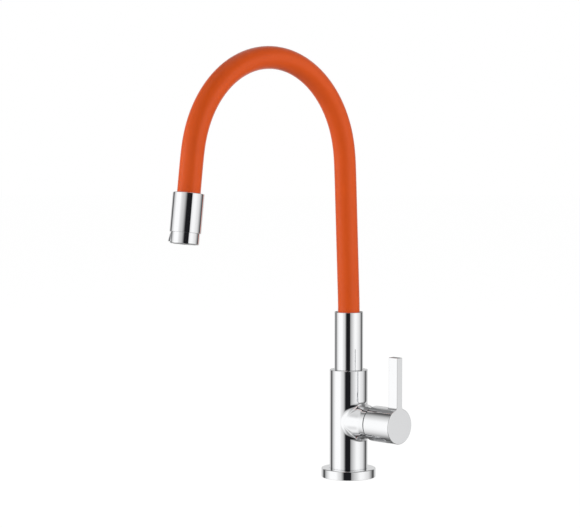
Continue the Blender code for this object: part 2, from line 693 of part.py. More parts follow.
def handle_outline():
    """Sideways and upward points of the end plate: a disc with the lever bar blended into it.

    The first list runs round the disc below the bar, the second over the bar and the third along
    the disc under the bar.
    """
    radius = HANDLE_RADIUS
    half = LEVER_WIDTH / 2
    join = math.asin((half + LEVER_FILLET) / (radius + LEVER_FILLET))
    fillet_rise = (radius + LEVER_FILLET) * math.cos(join)
    top = LEVER_RISE - LEVER_CORNER
    disc = arc((0, 0), radius, join, math.tau - join, ROUND_STEPS)
    fillet_side = half + LEVER_FILLET
    corner_side = half - LEVER_CORNER
    quarter = math.pi / 2
    left_fillet = arc((-fillet_side, fillet_rise), LEVER_FILLET, math.pi - join, quarter, FILLET_STEPS)
    left_corner = arc((-corner_side, top), LEVER_CORNER, -quarter, 0, CORNER_STEPS)
    right_corner = arc((corner_side, top), LEVER_CORNER, 0, quarter, CORNER_STEPS)
    right_fillet = arc((fillet_side, fillet_rise), LEVER_FILLET, -quarter, join - math.pi, FILLET_STEPS)
    bar = left_fillet[1:] + left_corner + right_corner + right_fillet[:-1]
    under = arc((0, 0), radius, -join, join, UNDER_BAR_STEPS)[1:-1]
    return disc, bar, under


def build_lever(pivot_place):
    """The cast handle: a hollow cap over the dome, and the flat lever flush with its end."""
    rim = PIVOT_SETBACK
    wall = DOME_RADIUS + DOME_CLEARANCE
    back = HANDLE_REACH - LEVER_THICKNESS - PIVOT_REACH
    front = HANDLE_REACH - PIVOT_REACH
    disc, bar, under = handle_outline()
    round_points = disc + under
    shrink = SKIRT_BORE_RADIUS / HANDLE_RADIUS
    form = bmesh.new()

    def ring(points, reach, share=1):
        return [form.verts.new((reach, side * share, rise * share)) for side, rise in points]

    front_round, front_bar = ring(round_points, front), ring(bar, front)
    back_round, back_bar = ring(round_points, back), ring(bar, back)
    rim_outer, rim_inner = ring(round_points, rim), ring(round_points, rim, shrink)
    wall_ring = ring(round_points, wall, shrink)
    count = len(disc)
    edge = front_round[:count] + front_bar
    rear = back_round[:count] + back_bar
    join_rings(form, edge, rear)
    form.faces.new(front_round)
    form.faces.new([front_round[count - 1]] + front_bar + [front_round[0]] + front_round[:count - 1:-1])
    form.faces.new([back_round[count - 1]] + back_bar + [back_round[0]] + back_round[:count - 1:-1])
    join_rings(form, back_round, rim_outer)
    join_rings(form, rim_outer, rim_inner)
    join_rings(form, rim_inner, wall_ring)
    form.faces.new(wall_ring)
    weight = form.edges.layers.float.new("bevel_weight_edge")
    for first, second in zip(edge, edge[1:] + edge[:1]):
        form.edges.get((first, second))[weight] = 1
    lever = to_object("lever_handle", form, "chrome")
    lever.location = pivot_place
    bevel = lever.modifiers.new("end_edge", "BEVEL")
    bevel.width = HANDLE_EDGE
    bevel.segments = 2
    bevel.limit_method = "WEIGHT"
    half = STEM_WIDTH / 2 + GAP
    socket = block("stem_socket", (wall - OVERRUN, -half, -half), (STEM_REACH + GAP, half, half))
    socket.location = pivot_place
    combine(lever, socket, "DIFFERENCE")
    screw_place = (pivot_place[0] + STEM_REACH - SET_SCREW_SETBACK, 0, HANDLE_HEIGHT)
    radius = HANDLE_RADIUS
    drill(lever, "set_screw_hole", SET_SCREW_DIAMETER / 2 + GAP, 0, radius + OVERRUN,
          screw_place, ALONG_MINUS_Z)
    drill(lever, "screw_cap_hole", SCREW_CAP_DIAMETER / 2 + GAP, radius - SCREW_CAP_LENGTH - GAP,
          radius + OVERRUN, screw_place, ALONG_MINUS_Z)
    return screw_place


def build_handle_screw(screw_place):
    """The screw that clamps the handle on its stem, and the cap over it."""
    screw = turned("handle_set_screw", screw_section(SET_SCREW_DIAMETER / 2, SET_SCREW_LENGTH),
                   SMALL_SIDES, "steel")
    screw.location = (screw_place[0], 0, HANDLE_HEIGHT - STEM_WIDTH / 2 - GAP)
    screw.rotation_euler = ALONG_MINUS_Z
    cap_radius = SCREW_CAP_DIAMETER / 2
    end = HANDLE_RADIUS - cap_radius ** 2 / HANDLE_RADIUS / 2
    cap = turned("screw_cap", rod_section(cap_radius, HANDLE_RADIUS - SCREW_CAP_LENGTH, end),
                 SMALL_SIDES, "grey_plastic")
    cap.location = screw_place
    cap.rotation_euler = ALONG_MINUS_Z


def build_handle_group():
    """Everything on the handle's axis: cartridge, dome, rotor, disc, stem and lever."""
    axis = add_frame("handle_turn_axis", (0, 0, HANDLE_HEIGHT), ALONG_X)
    pivot_place = (PIVOT_REACH, 0, HANDLE_HEIGHT)
    pivot = add_frame("handle_lift_axis", pivot_place, ALONG_X)
    disc_start = build_cartridge(axis)
    carrier_end = build_moving_disc(axis, disc_start)
    build_rotor(axis, carrier_end)
    build_dome(axis)
    build_stem(pivot)
    build_handle_screw(build_lever(pivot_place))


def build_spigot():
    """The swivel spigot that turns in the body's socket, with its seals and washer."""
    outer = SPIGOT_RADIUS
    bore = SPIGOT_BORE_RADIUS
    neck = SPIGOT_NECK_RADIUS
    barb = BARB_RADIUS
    groove_floor = outer - SEAL_SECTION - GAP
    groove_half = SEAL_SECTION / 2 + GAP
    lock_floor = outer - LOCK_GROOVE_DEPTH
    lock_half = GRUB_SCREW_DIAMETER / 2 + LOCK_GROOVE_MARGIN
    seal_heights = [SPIGOT_BOTTOM + SPIGOT_RUN * share for share in SPIGOT_SEAL_SHARES]
    grooves = [(seal_heights[0], groove_half, groove_floor), (LOCK_GROOVE_HEIGHT, lock_half, lock_floor),
               (seal_heights[1], groove_half, groove_floor)]
    profile = [(bore, SPIGOT_BOTTOM), (outer, SPIGOT_BOTTOM)]
    for height, half, floor in grooves:
        low, high = height - half, height + half
        profile += [(outer, low), (floor, low), (floor, high), (outer, high)]
    neck_top = SHELF_HEIGHT - GAP
    barb_top = neck_top + BARB_LENGTH
    profile += [(outer, SPIGOT_SHOULDER), (neck, SPIGOT_SHOULDER), (neck, neck_top), (barb, neck_top),
                (barb, barb_top), (bore, barb_top)]
    turned("swivel_spigot", profile, INNER_SIDES, "brass")
    middle = outer - SEAL_SECTION / 2
    for number, height in enumerate(seal_heights, 1):
        turned("spigot_seal_" + str(number), seal_section(middle, height), INNER_SIDES, "rubber")
    turned("swivel_washer",
           tube_section(neck + GAP, COLLAR_RADIUS - WASHER_INSET, WASHER_BOTTOM,
                        WASHER_BOTTOM + WASHER_THICKNESS),
           TRIM_SIDES, "grey_plastic")


def build_collar():
    """The chrome riser collar screwed on the spigot's neck."""
    outer = COLLAR_RADIUS
    mouth = MOUTH_RADIUS
    thread = SPIGOT_NECK_RADIUS + GAP
    edge = COLLAR_EDGE
    profile = [
        (thread, COLLAR_BOTTOM), (outer - edge, COLLAR_BOTTOM), (outer, COLLAR_BOTTOM + edge),
        (outer, COLLAR_TOP - edge), (outer - edge, COLLAR_TOP), (mouth, COLLAR_TOP),
        (mouth, SHELF_HEIGHT), (thread, SHELF_HEIGHT),
    ]
    turned("riser_collar", profile, TRIM_SIDES, "chrome")


def build_lower_ferrule():
    """The ferrule that anchors the gooseneck and the water hose inside the collar."""
    outer = FERRULE_RADIUS
    lip = BARB_RADIUS + FERRULE_LIP_MARGIN
    bore = GOOSENECK_DIAMETER / 2 + GAP
    floor = FERRULE_BOTTOM + FERRULE_LIP
    top = SLEEVE_BOTTOM - GAP
    profile = [(lip, FERRULE_BOTTOM), (outer, FERRULE_BOTTOM), (outer, top), (bore, top), (bore, floor),
               (lip, floor)]
    turned("lower_ferrule", profile, INNER_SIDES, "brass")


def ramp(distance):
    """A ramp that starts at zero distance, with its corner eased."""
    return BEND_EASE * math.log1p(math.exp(-abs(distance) / BEND_EASE)) + max(distance, 0)


def heading(distance):
    """The hose's angle from straight up, in radians, at a distance from the collar's mouth."""
    lean = math.radians(RISER_LEAN) * min(1, max(0, distance) / LEAN_RUN)
    arch_length = math.radians(ARCH_ANGLE) * ARCH_RADIUS
    bend = ramp(distance - RISER_LENGTH) - ramp(distance - RISER_LENGTH - arch_length)
    return lean + bend / ARCH_RADIUS


def trace_route():
    """Points at even steps along the hose's middle line, from the collar to the head."""
    place = Vector((0, 0, COLLAR_TOP))
    points = [place.copy()]
    steps = round(HOSE_LENGTH / ROUTE_STEP)
    step = HOSE_LENGTH / steps
    for number in range(steps):
        angle = heading(step * (number + 1 / 2))
        place = place + step * Vector((0, -math.sin(angle), math.cos(angle)))
        points.append(place.copy())
    return points, step


def hose_station(route, distance):
    """The place and direction of the hose's middle line at a distance from the collar."""
    points, step = route
    if distance <= 0:
        return points[0] + Vector((0, 0, distance)), Vector((0, 0, 1))
    angle = heading(min(distance, HOSE_LENGTH))
    along = Vector((0, -math.sin(angle), math.cos(angle)))
    if distance >= HOSE_LENGTH:
        return points[-1] + along * (distance - HOSE_LENGTH), along
    number = min(int(distance / step), len(points) - 2)
    return points[number].lerp(points[number + 1], distance / step - number), along


def hose_ring(form, place, along, radius, sides, rise=0):
    """A ring of vertices square to the hose, moved along it by a rise."""
    across = Vector((1, 0, 0))
    other = along.cross(across)
    middle = place + along * rise
    return [form.verts.new(middle + radius * (across * math.cos(turn) + other * math.sin(turn)))
            for turn in turns(sides)]


def ball_end(form, route, distance, ball_radius, radii, sides):
    """Rings on a ball round a joint of the hose, one for each radius of the tube's wall."""
    place, along = hose_station(route, distance)
    return [hose_ring(form, place, along, radius, sides, math.sqrt(ball_radius ** 2 - radius ** 2))
            for radius in radii]


def flat_end(form, route, distance, radii, sides):
    """Rings in one plane where a tube of the hose ends square."""
    place, along = hose_station(route, distance)
    return [hose_ring(form, place, along, radius, sides) for radius in (radii[0], radii[-1])]


def hose_link(name, route, number, radii, sides, ends, kind, joint):
    """One rigid stretch of a hose tube, from ball socket to ball; radii run from bore to outside."""
    form = bmesh.new()
    start = LINK_LENGTH * (number - 1)
    end = LINK_LENGTH * number
    first = start + FIRST_STATION
    last = end
    if number == 1:
        first = 0
        lower = flat_end(form, route, ends[0], radii, sides)
    else:
        lower = ball_end(form, route, start, BALL_RADIUS + BALL_GAP, radii, sides)
    if number == HOSE_LINKS:
        upper = flat_end(form, route, ends[1], radii, sides)
    else:
        upper = ball_end(form, route, end, BALL_RADIUS, radii, sides)
    bend = math.degrees(abs(heading(last) - heading(first)))
    spans = max(1, math.ceil(bend / BEND_PER_SPAN))
    stations = [hose_station(route, first + (last - first) * step / spans) for step in range(spans + 1)]
    outside = [hose_ring(form, place, along, radii[-1], sides) for place, along in stations]
    inside = [hose_ring(form, place, along, radii[0], sides) for place, along in stations]
    loop = lower + outside + upper[::-1] + inside[::-1]
    for before, after in zip(loop, loop[1:] + loop[:1]):
        join_rings(form, before, after)
    bmesh.ops.translate(form, vec=-joint.location, verts=form.verts)
    piece = to_object(name + "_" + str(number), form, kind)
    piece.parent = joint


def build_hose(route):
    """The three tubes of the hose, each cut into links that turn about shared ball joints."""
    sleeve = (SLEEVE_BORE / 2, (SLEEVE_BORE + SLEEVE_DIAMETER) / 4, SLEEVE_DIAMETER / 2)
    gooseneck = (GOOSENECK_BORE / 2, GOOSENECK_DIAMETER / 2)
    water = (WATER_HOSE_BORE / 2, WATER_HOSE_DIAMETER / 2)
    inner_ends = (HOSE_BOTTOM - COLLAR_TOP, HOSE_LENGTH + HEAD_HOSE_INSERTION)
    sleeve_ends = (-SLEEVE_INSERTION, HOSE_LENGTH + HEAD_SLEEVE_INSERTION)
    for number in range(1, HOSE_LINKS + 1):
        place, _ = hose_station(route, LINK_LENGTH * (number - 1))
        joint = add_frame("hose_joint_" + str(number - 1), place)
        hose_link("sleeve", route, number, sleeve, SLEEVE_SIDES, sleeve_ends, "silicone", joint)
        hose_link("gooseneck", route, number, gooseneck, CORE_SIDES, inner_ends, "steel", joint)
        hose_link("water_hose", route, number, water, CORE_SIDES, inner_ends, "water_tube", joint)


def build_upper_ferrule(axis):
    """The ferrule on the hose's far end, with the nipple that the spray head turns on."""
    outer = FERRULE_RADIUS
    cup = GOOSENECK_DIAMETER / 2 + GAP
    bore = SPIGOT_BORE_RADIUS
    barb = BARB_RADIUS
    nipple = NIPPLE_DIAMETER / 2
    seal_outer = CORE_SOCKET_RADIUS - GAP
    seal_floor = seal_outer - SEAL_SECTION - GAP
    snap_floor = nipple - SNAP_GROOVE_DEPTH
    cup_start = HEAD_SLEEVE_INSERTION + GAP
    cup_end = HEAD_HOSE_INSERTION + GAP
    snap_low = SNAP_RING_START - GAP
    snap_high = SNAP_RING_END + GAP
    profile = [
        (bore, cup_end - BARB_LENGTH), (barb, cup_end - BARB_LENGTH), (barb, cup_end), (cup, cup_end),
        (cup, cup_start), (outer, cup_start), (outer, FERRULE_END), (nipple, FERRULE_END),
        (nipple, snap_low), (snap_floor, snap_low), (snap_floor, snap_high), (nipple, snap_high),
        (nipple, NIPPLE_SEAL_START), (seal_floor, NIPPLE_SEAL_START), (seal_floor, NIPPLE_SEAL_END),
        (nipple, NIPPLE_SEAL_END), (nipple, NIPPLE_END), (bore, NIPPLE_END),
    ]
    turned("upper_ferrule", profile, INNER_SIDES, "brass", axis)
    seal_height = (NIPPLE_SEAL_START + NIPPLE_SEAL_END) / 2
    turned("nipple_seal", seal_section(seal_outer - SEAL_SECTION / 2, seal_height),
           INNER_SIDES, "rubber", axis)
    turned("snap_ring",
           tube_section(snap_floor + GAP, CORE_SOCKET_RADIUS - GAP, SNAP_RING_START, SNAP_RING_END),
           INNER_SIDES, "steel", axis)


def build_head_shell(axis):
    """The chrome shell of the spray head and the waterway core inside it."""
    outer = HEAD_RADIUS
    mouth = MOUTH_RADIUS
    bore = HEAD_SHELL_BORE_RADIUS
    edge = HEAD_EDGE
    profile = [
        (mouth, 0), (outer - edge, 0), (outer, edge), (outer, HEAD_SHELL_LENGTH - edge),
        (outer - edge, HEAD_SHELL_LENGTH), (bore, HEAD_SHELL_LENGTH), (bore, HEAD_MOUTH_LENGTH),
        (mouth, HEAD_MOUTH_LENGTH),
    ]
    turned("head_shell", profile, TRIM_SIDES, "chrome", axis)
    core = bore - GAP
    lip = NIPPLE_DIAMETER / 2 + GAP
    socket = CORE_SOCKET_RADIUS
    passage = CORE_PASSAGE / 2
    profile = [
        (lip, CORE_START), (core, CORE_START), (core, CORE_END), (passage, CORE_END),
        (passage, CORE_SOCKET_END), (socket, CORE_SOCKET_END), (socket, CORE_LIP_END), (lip, CORE_LIP_END),
    ]
    turned("head_core", profile, INNER_SIDES, "white_plastic", axis)


def build_mode_ring(axis):
    """The ring that is turned to change the spray, and the diverter disc in it."""
    spigot = MODE_SPIGOT_RADIUS
    start = CORE_END + GAP
    seam = HEAD_SHELL_LENGTH + GAP
    bore = MODE_BORE_RADIUS
    outer = MODE_RING_RADIUS
    edge = MODE_RING_EDGE
    half_edge = edge * math.sin(math.pi / 4)
    profile = [
        (bore, start), (spigot, start), (spigot, seam), (outer, seam), (outer, MODE_RING_END - edge),
        (outer - edge + half_edge, MODE_RING_END - edge + half_edge), (outer - edge, MODE_RING_END),
        (bore, MODE_RING_END),
    ]
    ring = turned("mode_ring", profile, TRIM_SIDES, "chrome", axis)
    tab_root = (bore + outer) / 2
    foot = MODE_RING_END - MODE_TAB_FOOT
    tab_reach = HEAD_RADIUS + MODE_TAB_PROUD
    outline = [(tab_root, seam + GAP), (outer - GAP, seam + GAP), (tab_reach, foot), (tab_root, foot)]
    combine(ring, prism("mode_tab", outline, MODE_TAB_WIDTH, axis, MODE_TAB_ANGLE), "UNION")
    diverter = turned("diverter_disc", rod_section(bore - GAP, start, start + DIVERTER_THICKNESS),
                      INNER_SIDES, "white_plastic", axis)
    for number, side in enumerate((-DIVERTER_HOLE_RADIUS, DIVERTER_HOLE_RADIUS), 1):
        drill(diverter, "diverter_hole_" + str(number), DIVERTER_HOLE_DIAMETER / 2, start - OVERRUN,
              start + DIVERTER_THICKNESS + OVERRUN, (side, 0, 0))


def jet_ring(form, turn, radius, height):
    """A small ring of vertices for a jet, on a circle round the head's axis."""
    middle = Vector((radius * math.cos(turn), radius * math.sin(turn), height))
    jet_radius = SPRAY_JET_DIAMETER / 2
    return [form.verts.new(middle + jet_radius * Vector((math.cos(angle), math.sin(angle), 0)))
            for angle in turns(SEAL_SECTION_SIDES)]


def build_spray_plate(axis):
    """The spray plate, with a ring of jets round the aerator's hole."""
    end = MODE_RING_END - SPRAY_PLATE_RECESS
    start = end - SPRAY_PLATE_THICKNESS
    centre = AERATOR_DIAMETER / 2 + GAP
    rim = MODE_BORE_RADIUS - GAP
    plate = turned("spray_plate", tube_section(centre, rim, start, end), INNER_SIDES, "grey_plastic", axis)
    jets = bmesh.new()
    for turn in turns(SPRAY_JETS):
        lower = jet_ring(jets, turn, (centre + rim) / 2, start - OVERRUN)
        upper = jet_ring(jets, turn, (centre + rim) / 2, end + OVERRUN)
        join_rings(jets, lower, upper)
        jets.faces.new(lower)
        jets.faces.new(upper)
    tool = to_object("spray_jets", jets)
    tool.parent = axis
    combine(plate, tool, "DIFFERENCE")


def build_aerator(axis):
    """The aerator's cup with crossed bars, and the wire screen behind them."""
    outer = AERATOR_DIAMETER / 2
    bore = outer - AERATOR_WALL
    foot = MODE_RING_END - SPRAY_PLATE_RECESS / 2
    floor = foot - AERATOR_WALL
    aerator = turned("aerator", tube_section(bore, outer, foot - AERATOR_HEIGHT, foot), INNER_SIDES,
                     "white_plastic", axis)
    run = (bore + outer) / 2
    half = AERATOR_BAR_WIDTH / 2
    for number in range(AERATOR_BARS):
        bar = block("aerator_bar_" + str(number + 1), (-run, -half, floor - AERATOR_FLOOR),
                    (run, half, floor), frame=axis)
        bar.rotation_euler = (0, 0, math.pi * number / AERATOR_BARS)
        combine(aerator, bar, "UNION")
    screen_top = floor - AERATOR_FLOOR - GAP
    turned("aerator_screen",
           tube_section(SCREEN_BORE / 2, bore - GAP, screen_top - SCREEN_THICKNESS, screen_top),
           INNER_SIDES, "steel", axis)


def build_head(route):
    """The spray head, on an axis that carries on from the hose's end."""
    place, along = hose_station(route, HOSE_LENGTH)
    axis = add_frame("head_axis", place, (math.atan2(-along.y, along.z), 0, 0))
    build_upper_ferrule(axis)
    build_head_shell(axis)
    build_mode_ring(axis)
    build_spray_plate(axis)
    build_aerator(axis)


def build_faucet():
    """Every piece of the faucet."""
    clear_scene()
    build_flange()
    build_body()
    build_grub_screw()
    build_handle_group()
    add_frame("spout_swivel_axis", (0, 0, 0))
    build_spigot()
    build_collar()
    build_lower_ferrule()
    route = trace_route()
    build_hose(route)
    build_head(route)


build_faucet()
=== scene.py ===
"""Fine surfaces, materials, studio and camera for a flexible kitchen faucet.

Everything is in metres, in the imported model's frame: the origin is the centre of the body's
underside, +Z is up, the handle points along +X and the spout reaches towards -Y.
"""
import json
import math

import bmesh
import bpy
from mathutils import Matrix, Vector


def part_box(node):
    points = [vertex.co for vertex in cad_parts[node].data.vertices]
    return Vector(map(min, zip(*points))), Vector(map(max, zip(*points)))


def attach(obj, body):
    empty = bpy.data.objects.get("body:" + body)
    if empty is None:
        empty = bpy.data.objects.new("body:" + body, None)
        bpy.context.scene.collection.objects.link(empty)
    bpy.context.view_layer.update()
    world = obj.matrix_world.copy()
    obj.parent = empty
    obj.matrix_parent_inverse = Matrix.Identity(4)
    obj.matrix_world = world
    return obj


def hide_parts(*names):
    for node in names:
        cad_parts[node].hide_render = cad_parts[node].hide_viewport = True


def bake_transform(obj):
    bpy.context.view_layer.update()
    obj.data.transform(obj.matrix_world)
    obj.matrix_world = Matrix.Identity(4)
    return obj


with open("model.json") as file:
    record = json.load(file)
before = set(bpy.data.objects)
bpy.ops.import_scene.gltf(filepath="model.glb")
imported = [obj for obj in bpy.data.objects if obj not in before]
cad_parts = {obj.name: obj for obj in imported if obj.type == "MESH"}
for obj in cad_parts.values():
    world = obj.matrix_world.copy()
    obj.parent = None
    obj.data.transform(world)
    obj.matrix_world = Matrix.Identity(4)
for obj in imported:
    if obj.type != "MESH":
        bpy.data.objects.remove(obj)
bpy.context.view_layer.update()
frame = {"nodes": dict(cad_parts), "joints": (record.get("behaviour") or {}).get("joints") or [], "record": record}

QUARTER = math.pi / 2
# Facets and steps of the fine surfaces
SIDES = 128
SMALL_SIDES = 48
CORNER_STEPS = 6
BEVEL_PROFILE = 0.5
# A row of points nearer the axis than this is a single point
ON_AXIS = 1e-7


def joint(name):
    """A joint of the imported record."""
    return next(item for item in frame["joints"] if item["name"] == name)


def turns(sides):
    """Angles of evenly spaced points round a full turn."""
    return [math.tau * step / sides for step in range(sides)]


def spaced(low, high, count):
    """Evenly spaced values from low to high, both included."""
    return [low + (high - low) * step / count for step in range(count + 1)]


def place_at(radius, turn, height):
    """A point at a distance and an angle round the Z axis."""
    return Vector((radius * math.cos(turn), radius * math.sin(turn), height))


def level_direction(turn):
    """The level direction at an angle from +X."""
    return place_at(1, turn, 0)


def add_object(name, data):
    """Make an object and put it in the scene."""
    made = bpy.data.objects.new(name, data)
    bpy.context.scene.collection.objects.link(made)
    return made


class Skin:
    """A surface under construction, with a true normal for each corner of its faces."""

    def __init__(self):
        self.places = []
        self.faces = []
        self.normals = []

    def add(self, places):
        """Add a row of points and return their numbers."""
        first = len(self.places)
        self.places.extend(Vector(place) for place in places)
        return list(range(first, len(self.places)))

    def face(self, corners, normals):
        """Add a face."""
        self.faces.append(tuple(corners))
        self.normals.extend(normals)

    def flat(self, corners, normal):
        """Add a face with one normal."""
        self.face(corners, [normal] * len(corners))

    def strip(self, low, high, low_normals, high_normals, closed=True):
        """Join two rows of points by quads, or by triangles where a quad's side is a single point."""
        count = max(len(low), len(high))
        for step in range(count if closed else count - 1):
            after = (step + 1) % count
            corners = {}
            for row, normals, number in ((low, low_normals, step), (low, low_normals, after),
                                         (high, high_normals, after), (high, high_normals, step)):
                corners.setdefault(row[number % len(row)], normals[number % len(normals)])
            if len(corners) > 2:
                self.face(corners.keys(), corners.values())

    def loft(self, rows, closed=True):
        """Join each row, a pair of its points and normals, to the next."""
        for (low, low_normals), (high, high_normals) in zip(rows, rows[1:]):
            self.strip(low, high, low_normals, high_normals, closed)


def finish_piece(name, mesh, body, slot, matrix, nodes):
    """Put a mesh in place, give it its material and say what it rides on and replaces."""
    piece = add_object(name, mesh)
    if matrix:
        piece.matrix_world = matrix
    mesh.materials.append(MATERIALS[slot])
    if body:
        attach(piece, body)
    if nodes:
        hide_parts(*nodes)
    return piece


def finish_skin(name, skin, body, slot, matrix=None, nodes=()):
    """Turn a skin into a finished piece."""
    mesh = bpy.data.meshes.new(name)
    mesh.from_pydata([tuple(place) for place in skin.places], [], skin.faces)
    mesh.shade_smooth()
    mesh.normals_split_custom_set([tuple(normal) for normal in skin.normals])
    return finish_piece(name, mesh, body, slot, matrix, nodes)


def finish_form(name, form, body, slot, matrix=None, nodes=()):
    """Turn straight-sided work into a finished piece."""
    mesh = bpy.data.meshes.new(name)
    form.to_mesh(mesh)
    form.free()
    return finish_piece(name, mesh, body, slot, matrix, nodes)


def section(points, closed=True):
    """Runs of (place, normal) along a profile of (radius, height, rounding) points.

    The material lies to the left of the profile's direction.
    """
    count = len(points)
    corners = []
    for number, point in enumerate(points):
        place = Vector(point[:2])
        rounding = point[2] if len(point) > 2 else 0
        if rounding == 0 or (not closed and number in (0, count - 1)):
            corners.append([(place, None)])
            continue
        before = (place - Vector(points[number - 1][:2])).normalized()
        after = (Vector(points[(number + 1) % count][:2]) - place).normalized()
        bend = math.atan2(before.x * after.y - before.y * after.x, before.dot(after))
        side = 1 if bend > 0 else -1
        first = Vector((before.y, -before.x))
        centre = place - before * rounding * math.tan(abs(bend) / 2) - side * rounding * first
        arc = []
        for turn in spaced(0, bend, CORNER_STEPS):
            normal = Matrix.Rotation(turn, 2) @ first
            arc.append((centre + side * rounding * normal, normal))
        corners.append(arc)
    runs = []
    for number, corner in enumerate(corners):
        if len(corner) > 1:
            runs.append(corner)
        if not closed and number == count - 1:
            break
        start = corner[-1][0]
        end = corners[(number + 1) % count][0][0]
        along = (end - start).normalized()
        normal = Vector((along.y, -along.x))
        runs.append([(start, normal), (end, normal)])
    return runs


def turn_section(skin, runs, sides, first_row=None, closed=False):
    """Turn a profile's runs about the Z axis, from a given first row of points or a new one.

    Gives the first and the last row. A closed profile comes back to its first row.
    """
    around = turns(sides)
    row = first_row
    start_row = None
    for run_number, run in enumerate(runs):
        before = None
        for place_number, (place, normal) in enumerate(run):
            radius = max(place.x, 0)
            leaning = [place_at(normal.x, turn, normal.y) for turn in around]
            if closed and run_number == len(runs) - 1 and place_number == len(run) - 1:
                row = start_row
            elif place_number > 0 or row is None:
                row = skin.add(place_at(radius, turn, place.y)
                               for turn in (around if radius > ON_AXIS else around[:1]))
            if start_row is None:
                start_row = row
            if before:
                skin.strip(before[0], row, before[1], leaning)
            before = (row, leaning)
    return start_row, row


def rounded_rim(ring, outward, ahead, radius, reach, edge):
    """Rows that round a rim over, from its wall to the face that looks ahead."""
    rows = []
    for turn in spaced(0, QUARTER, CORNER_STEPS):
        row = ring(radius - edge * (1 - math.cos(turn)), reach - ahead.x * edge * (1 - math.sin(turn)))
        rows.append((row, [math.cos(turn) * normal + math.sin(turn) * ahead for normal in outward]))
    return rows


def turned(name, points, body, slot, matrix=None, nodes=()):
    """A piece turned from a closed profile."""
    skin = Skin()
    turn_section(skin, section(points), SIDES, closed=True)
    finish_skin(name, skin, body, slot, matrix, nodes)


def axis_matrix(place, axis):
    """A frame at a place whose Z axis is the one given."""
    return Matrix.Translation(Vector(place)) @ Vector(axis).to_track_quat("Z", "Y").to_matrix().to_4x4()


def tilted_matrix(place, axis):
    """A frame at a place whose Z axis is the one given, reached by a tilt about X alone."""
    return Matrix.Translation(Vector(place)) @ Matrix.Rotation(math.atan2(-axis[1], axis[2]), 4, "X")


BRANCH_JOINT = joint("handle_turn")
BRANCH_HEIGHT = BRANCH_JOINT["pos_m"][2]
BRANCH = axis_matrix(BRANCH_JOINT["pos_m"], BRANCH_JOINT["axis"])
HEAD_JOINT = joint("head_swivel")
HEAD = axis_matrix(HEAD_JOINT["pos_m"], HEAD_JOINT["axis"])
HEAD_TILTED = tilted_matrix(HEAD_JOINT["pos_m"], HEAD_JOINT["axis"])


# Materials


NOISE_SPAN = (0.3, 0.7)
BROAD_DETAIL = 3
GRAIN_DETAIL = 2
BLOOM_ROUGHNESS = 0.3


def set_inputs(tree, node, inputs):
    """Set a node's inputs to plain values, or link them to other nodes' outputs."""
    for key, value in inputs.items():
        if isinstance(value, bpy.types.NodeSocket):
            tree.links.new(value, node.inputs[key])
        else:
            node.inputs[key].default_value = value


def add_node(tree, kind, inputs=None, **settings):
    """Add a shader node of a kind, with its settings and inputs."""
    node = tree.nodes.new("ShaderNode" + kind)
    for key, value in settings.items():
        setattr(node, key, value)
    set_inputs(tree, node, inputs or {})
    return node


def noise(tree, scale, detail, stretch):
    """Noise over the object's own coordinates, as a value round a half."""
    where = add_node(tree, "TexCoord").outputs["Object"]
    place = add_node(tree, "Mapping", {"Vector": where, "Scale": stretch}).outputs["Vector"]
    return add_node(tree, "TexNoise", {"Vector": place, "Scale": scale, "Detail": detail}).outputs["Fac"]


def spread(tree, value, low, high):
    """Map a noise value to a range."""
    ends = {"From Min": NOISE_SPAN[0], "From Max": NOISE_SPAN[1], "To Min": low, "To Max": high}
    return add_node(tree, "MapRange", {"Value": value, **ends}).outputs["Result"]


def surface(name, colour, other, roughness, metallic=0, scale=60, stretch=(1, 1, 1), fine=900,
            depth=0.00001, ior=1.5, bloom=0):
    """A material whose colour and roughness vary softly, with a fine grain; bloom pales its edges."""
    material = bpy.data.materials.new(name)
    material.use_nodes = True
    tree = material.node_tree
    shader = tree.nodes["Principled BSDF"]
    broad = spread(tree, noise(tree, scale, BROAD_DETAIL, stretch), 0, 1)
    grain = noise(tree, fine, GRAIN_DETAIL, stretch)
    tint = add_node(tree, "Mix", {"A": (*colour, 1), "B": (*other, 1), "Factor": broad}, data_type="RGBA")
    set_inputs(tree, shader, {
        "Base Color": tint.outputs["Result"], "Roughness": spread(tree, grain, *roughness),
        "Metallic": metallic, "IOR": ior, "Sheen Weight": bloom, "Sheen Roughness": BLOOM_ROUGHNESS,
    })
    if depth:
        bump = add_node(tree, "Bump", {"Height": grain, "Distance": depth, "Strength": 1})
        set_inputs(tree, shader, {"Normal": bump.outputs["Normal"]})
    return material


MATERIALS = {
    "chrome": surface("polished_chrome", (0.935, 0.94, 0.95), (0.925, 0.93, 0.94), (0.035, 0.055), 1,
                      scale=35, fine=400, depth=0),
    "orange_silicone": surface("orange_silicone", (0.79, 0.098, 0.0065), (0.765, 0.093, 0.0065),
                               (0.30, 0.36), scale=45, fine=1800, depth=0.000012, ior=1.36, bloom=0.32),
    "brass": surface("turned_brass", (0.60, 0.40, 0.14), (0.52, 0.34, 0.11), (0.24, 0.36), 1,
                     stretch=(1, 1, 12)),
    "steel": surface("brushed_steel", (0.42, 0.43, 0.45), (0.34, 0.35, 0.37), (0.22, 0.36), 1,
                     stretch=(1, 1, 10)),
    "black_rubber": surface("black_rubber", (0.020, 0.020, 0.021), (0.028, 0.028, 0.028), (0.55, 0.68),
                            depth=0.00002),
    "white_plastic": surface("white_plastic", (0.66, 0.66, 0.63), (0.62, 0.62, 0.59), (0.36, 0.44)),
    "grey_plastic": surface("grey_plastic", (0.50, 0.51, 0.52), (0.46, 0.47, 0.48), (0.38, 0.48)),
    "ceramic": surface("ceramic", (0.78, 0.76, 0.71), (0.73, 0.71, 0.67), (0.10, 0.18)),
    "water_tube": surface("water_tube", (0.26, 0.32, 0.40), (0.22, 0.28, 0.36), (0.44, 0.54)),
}
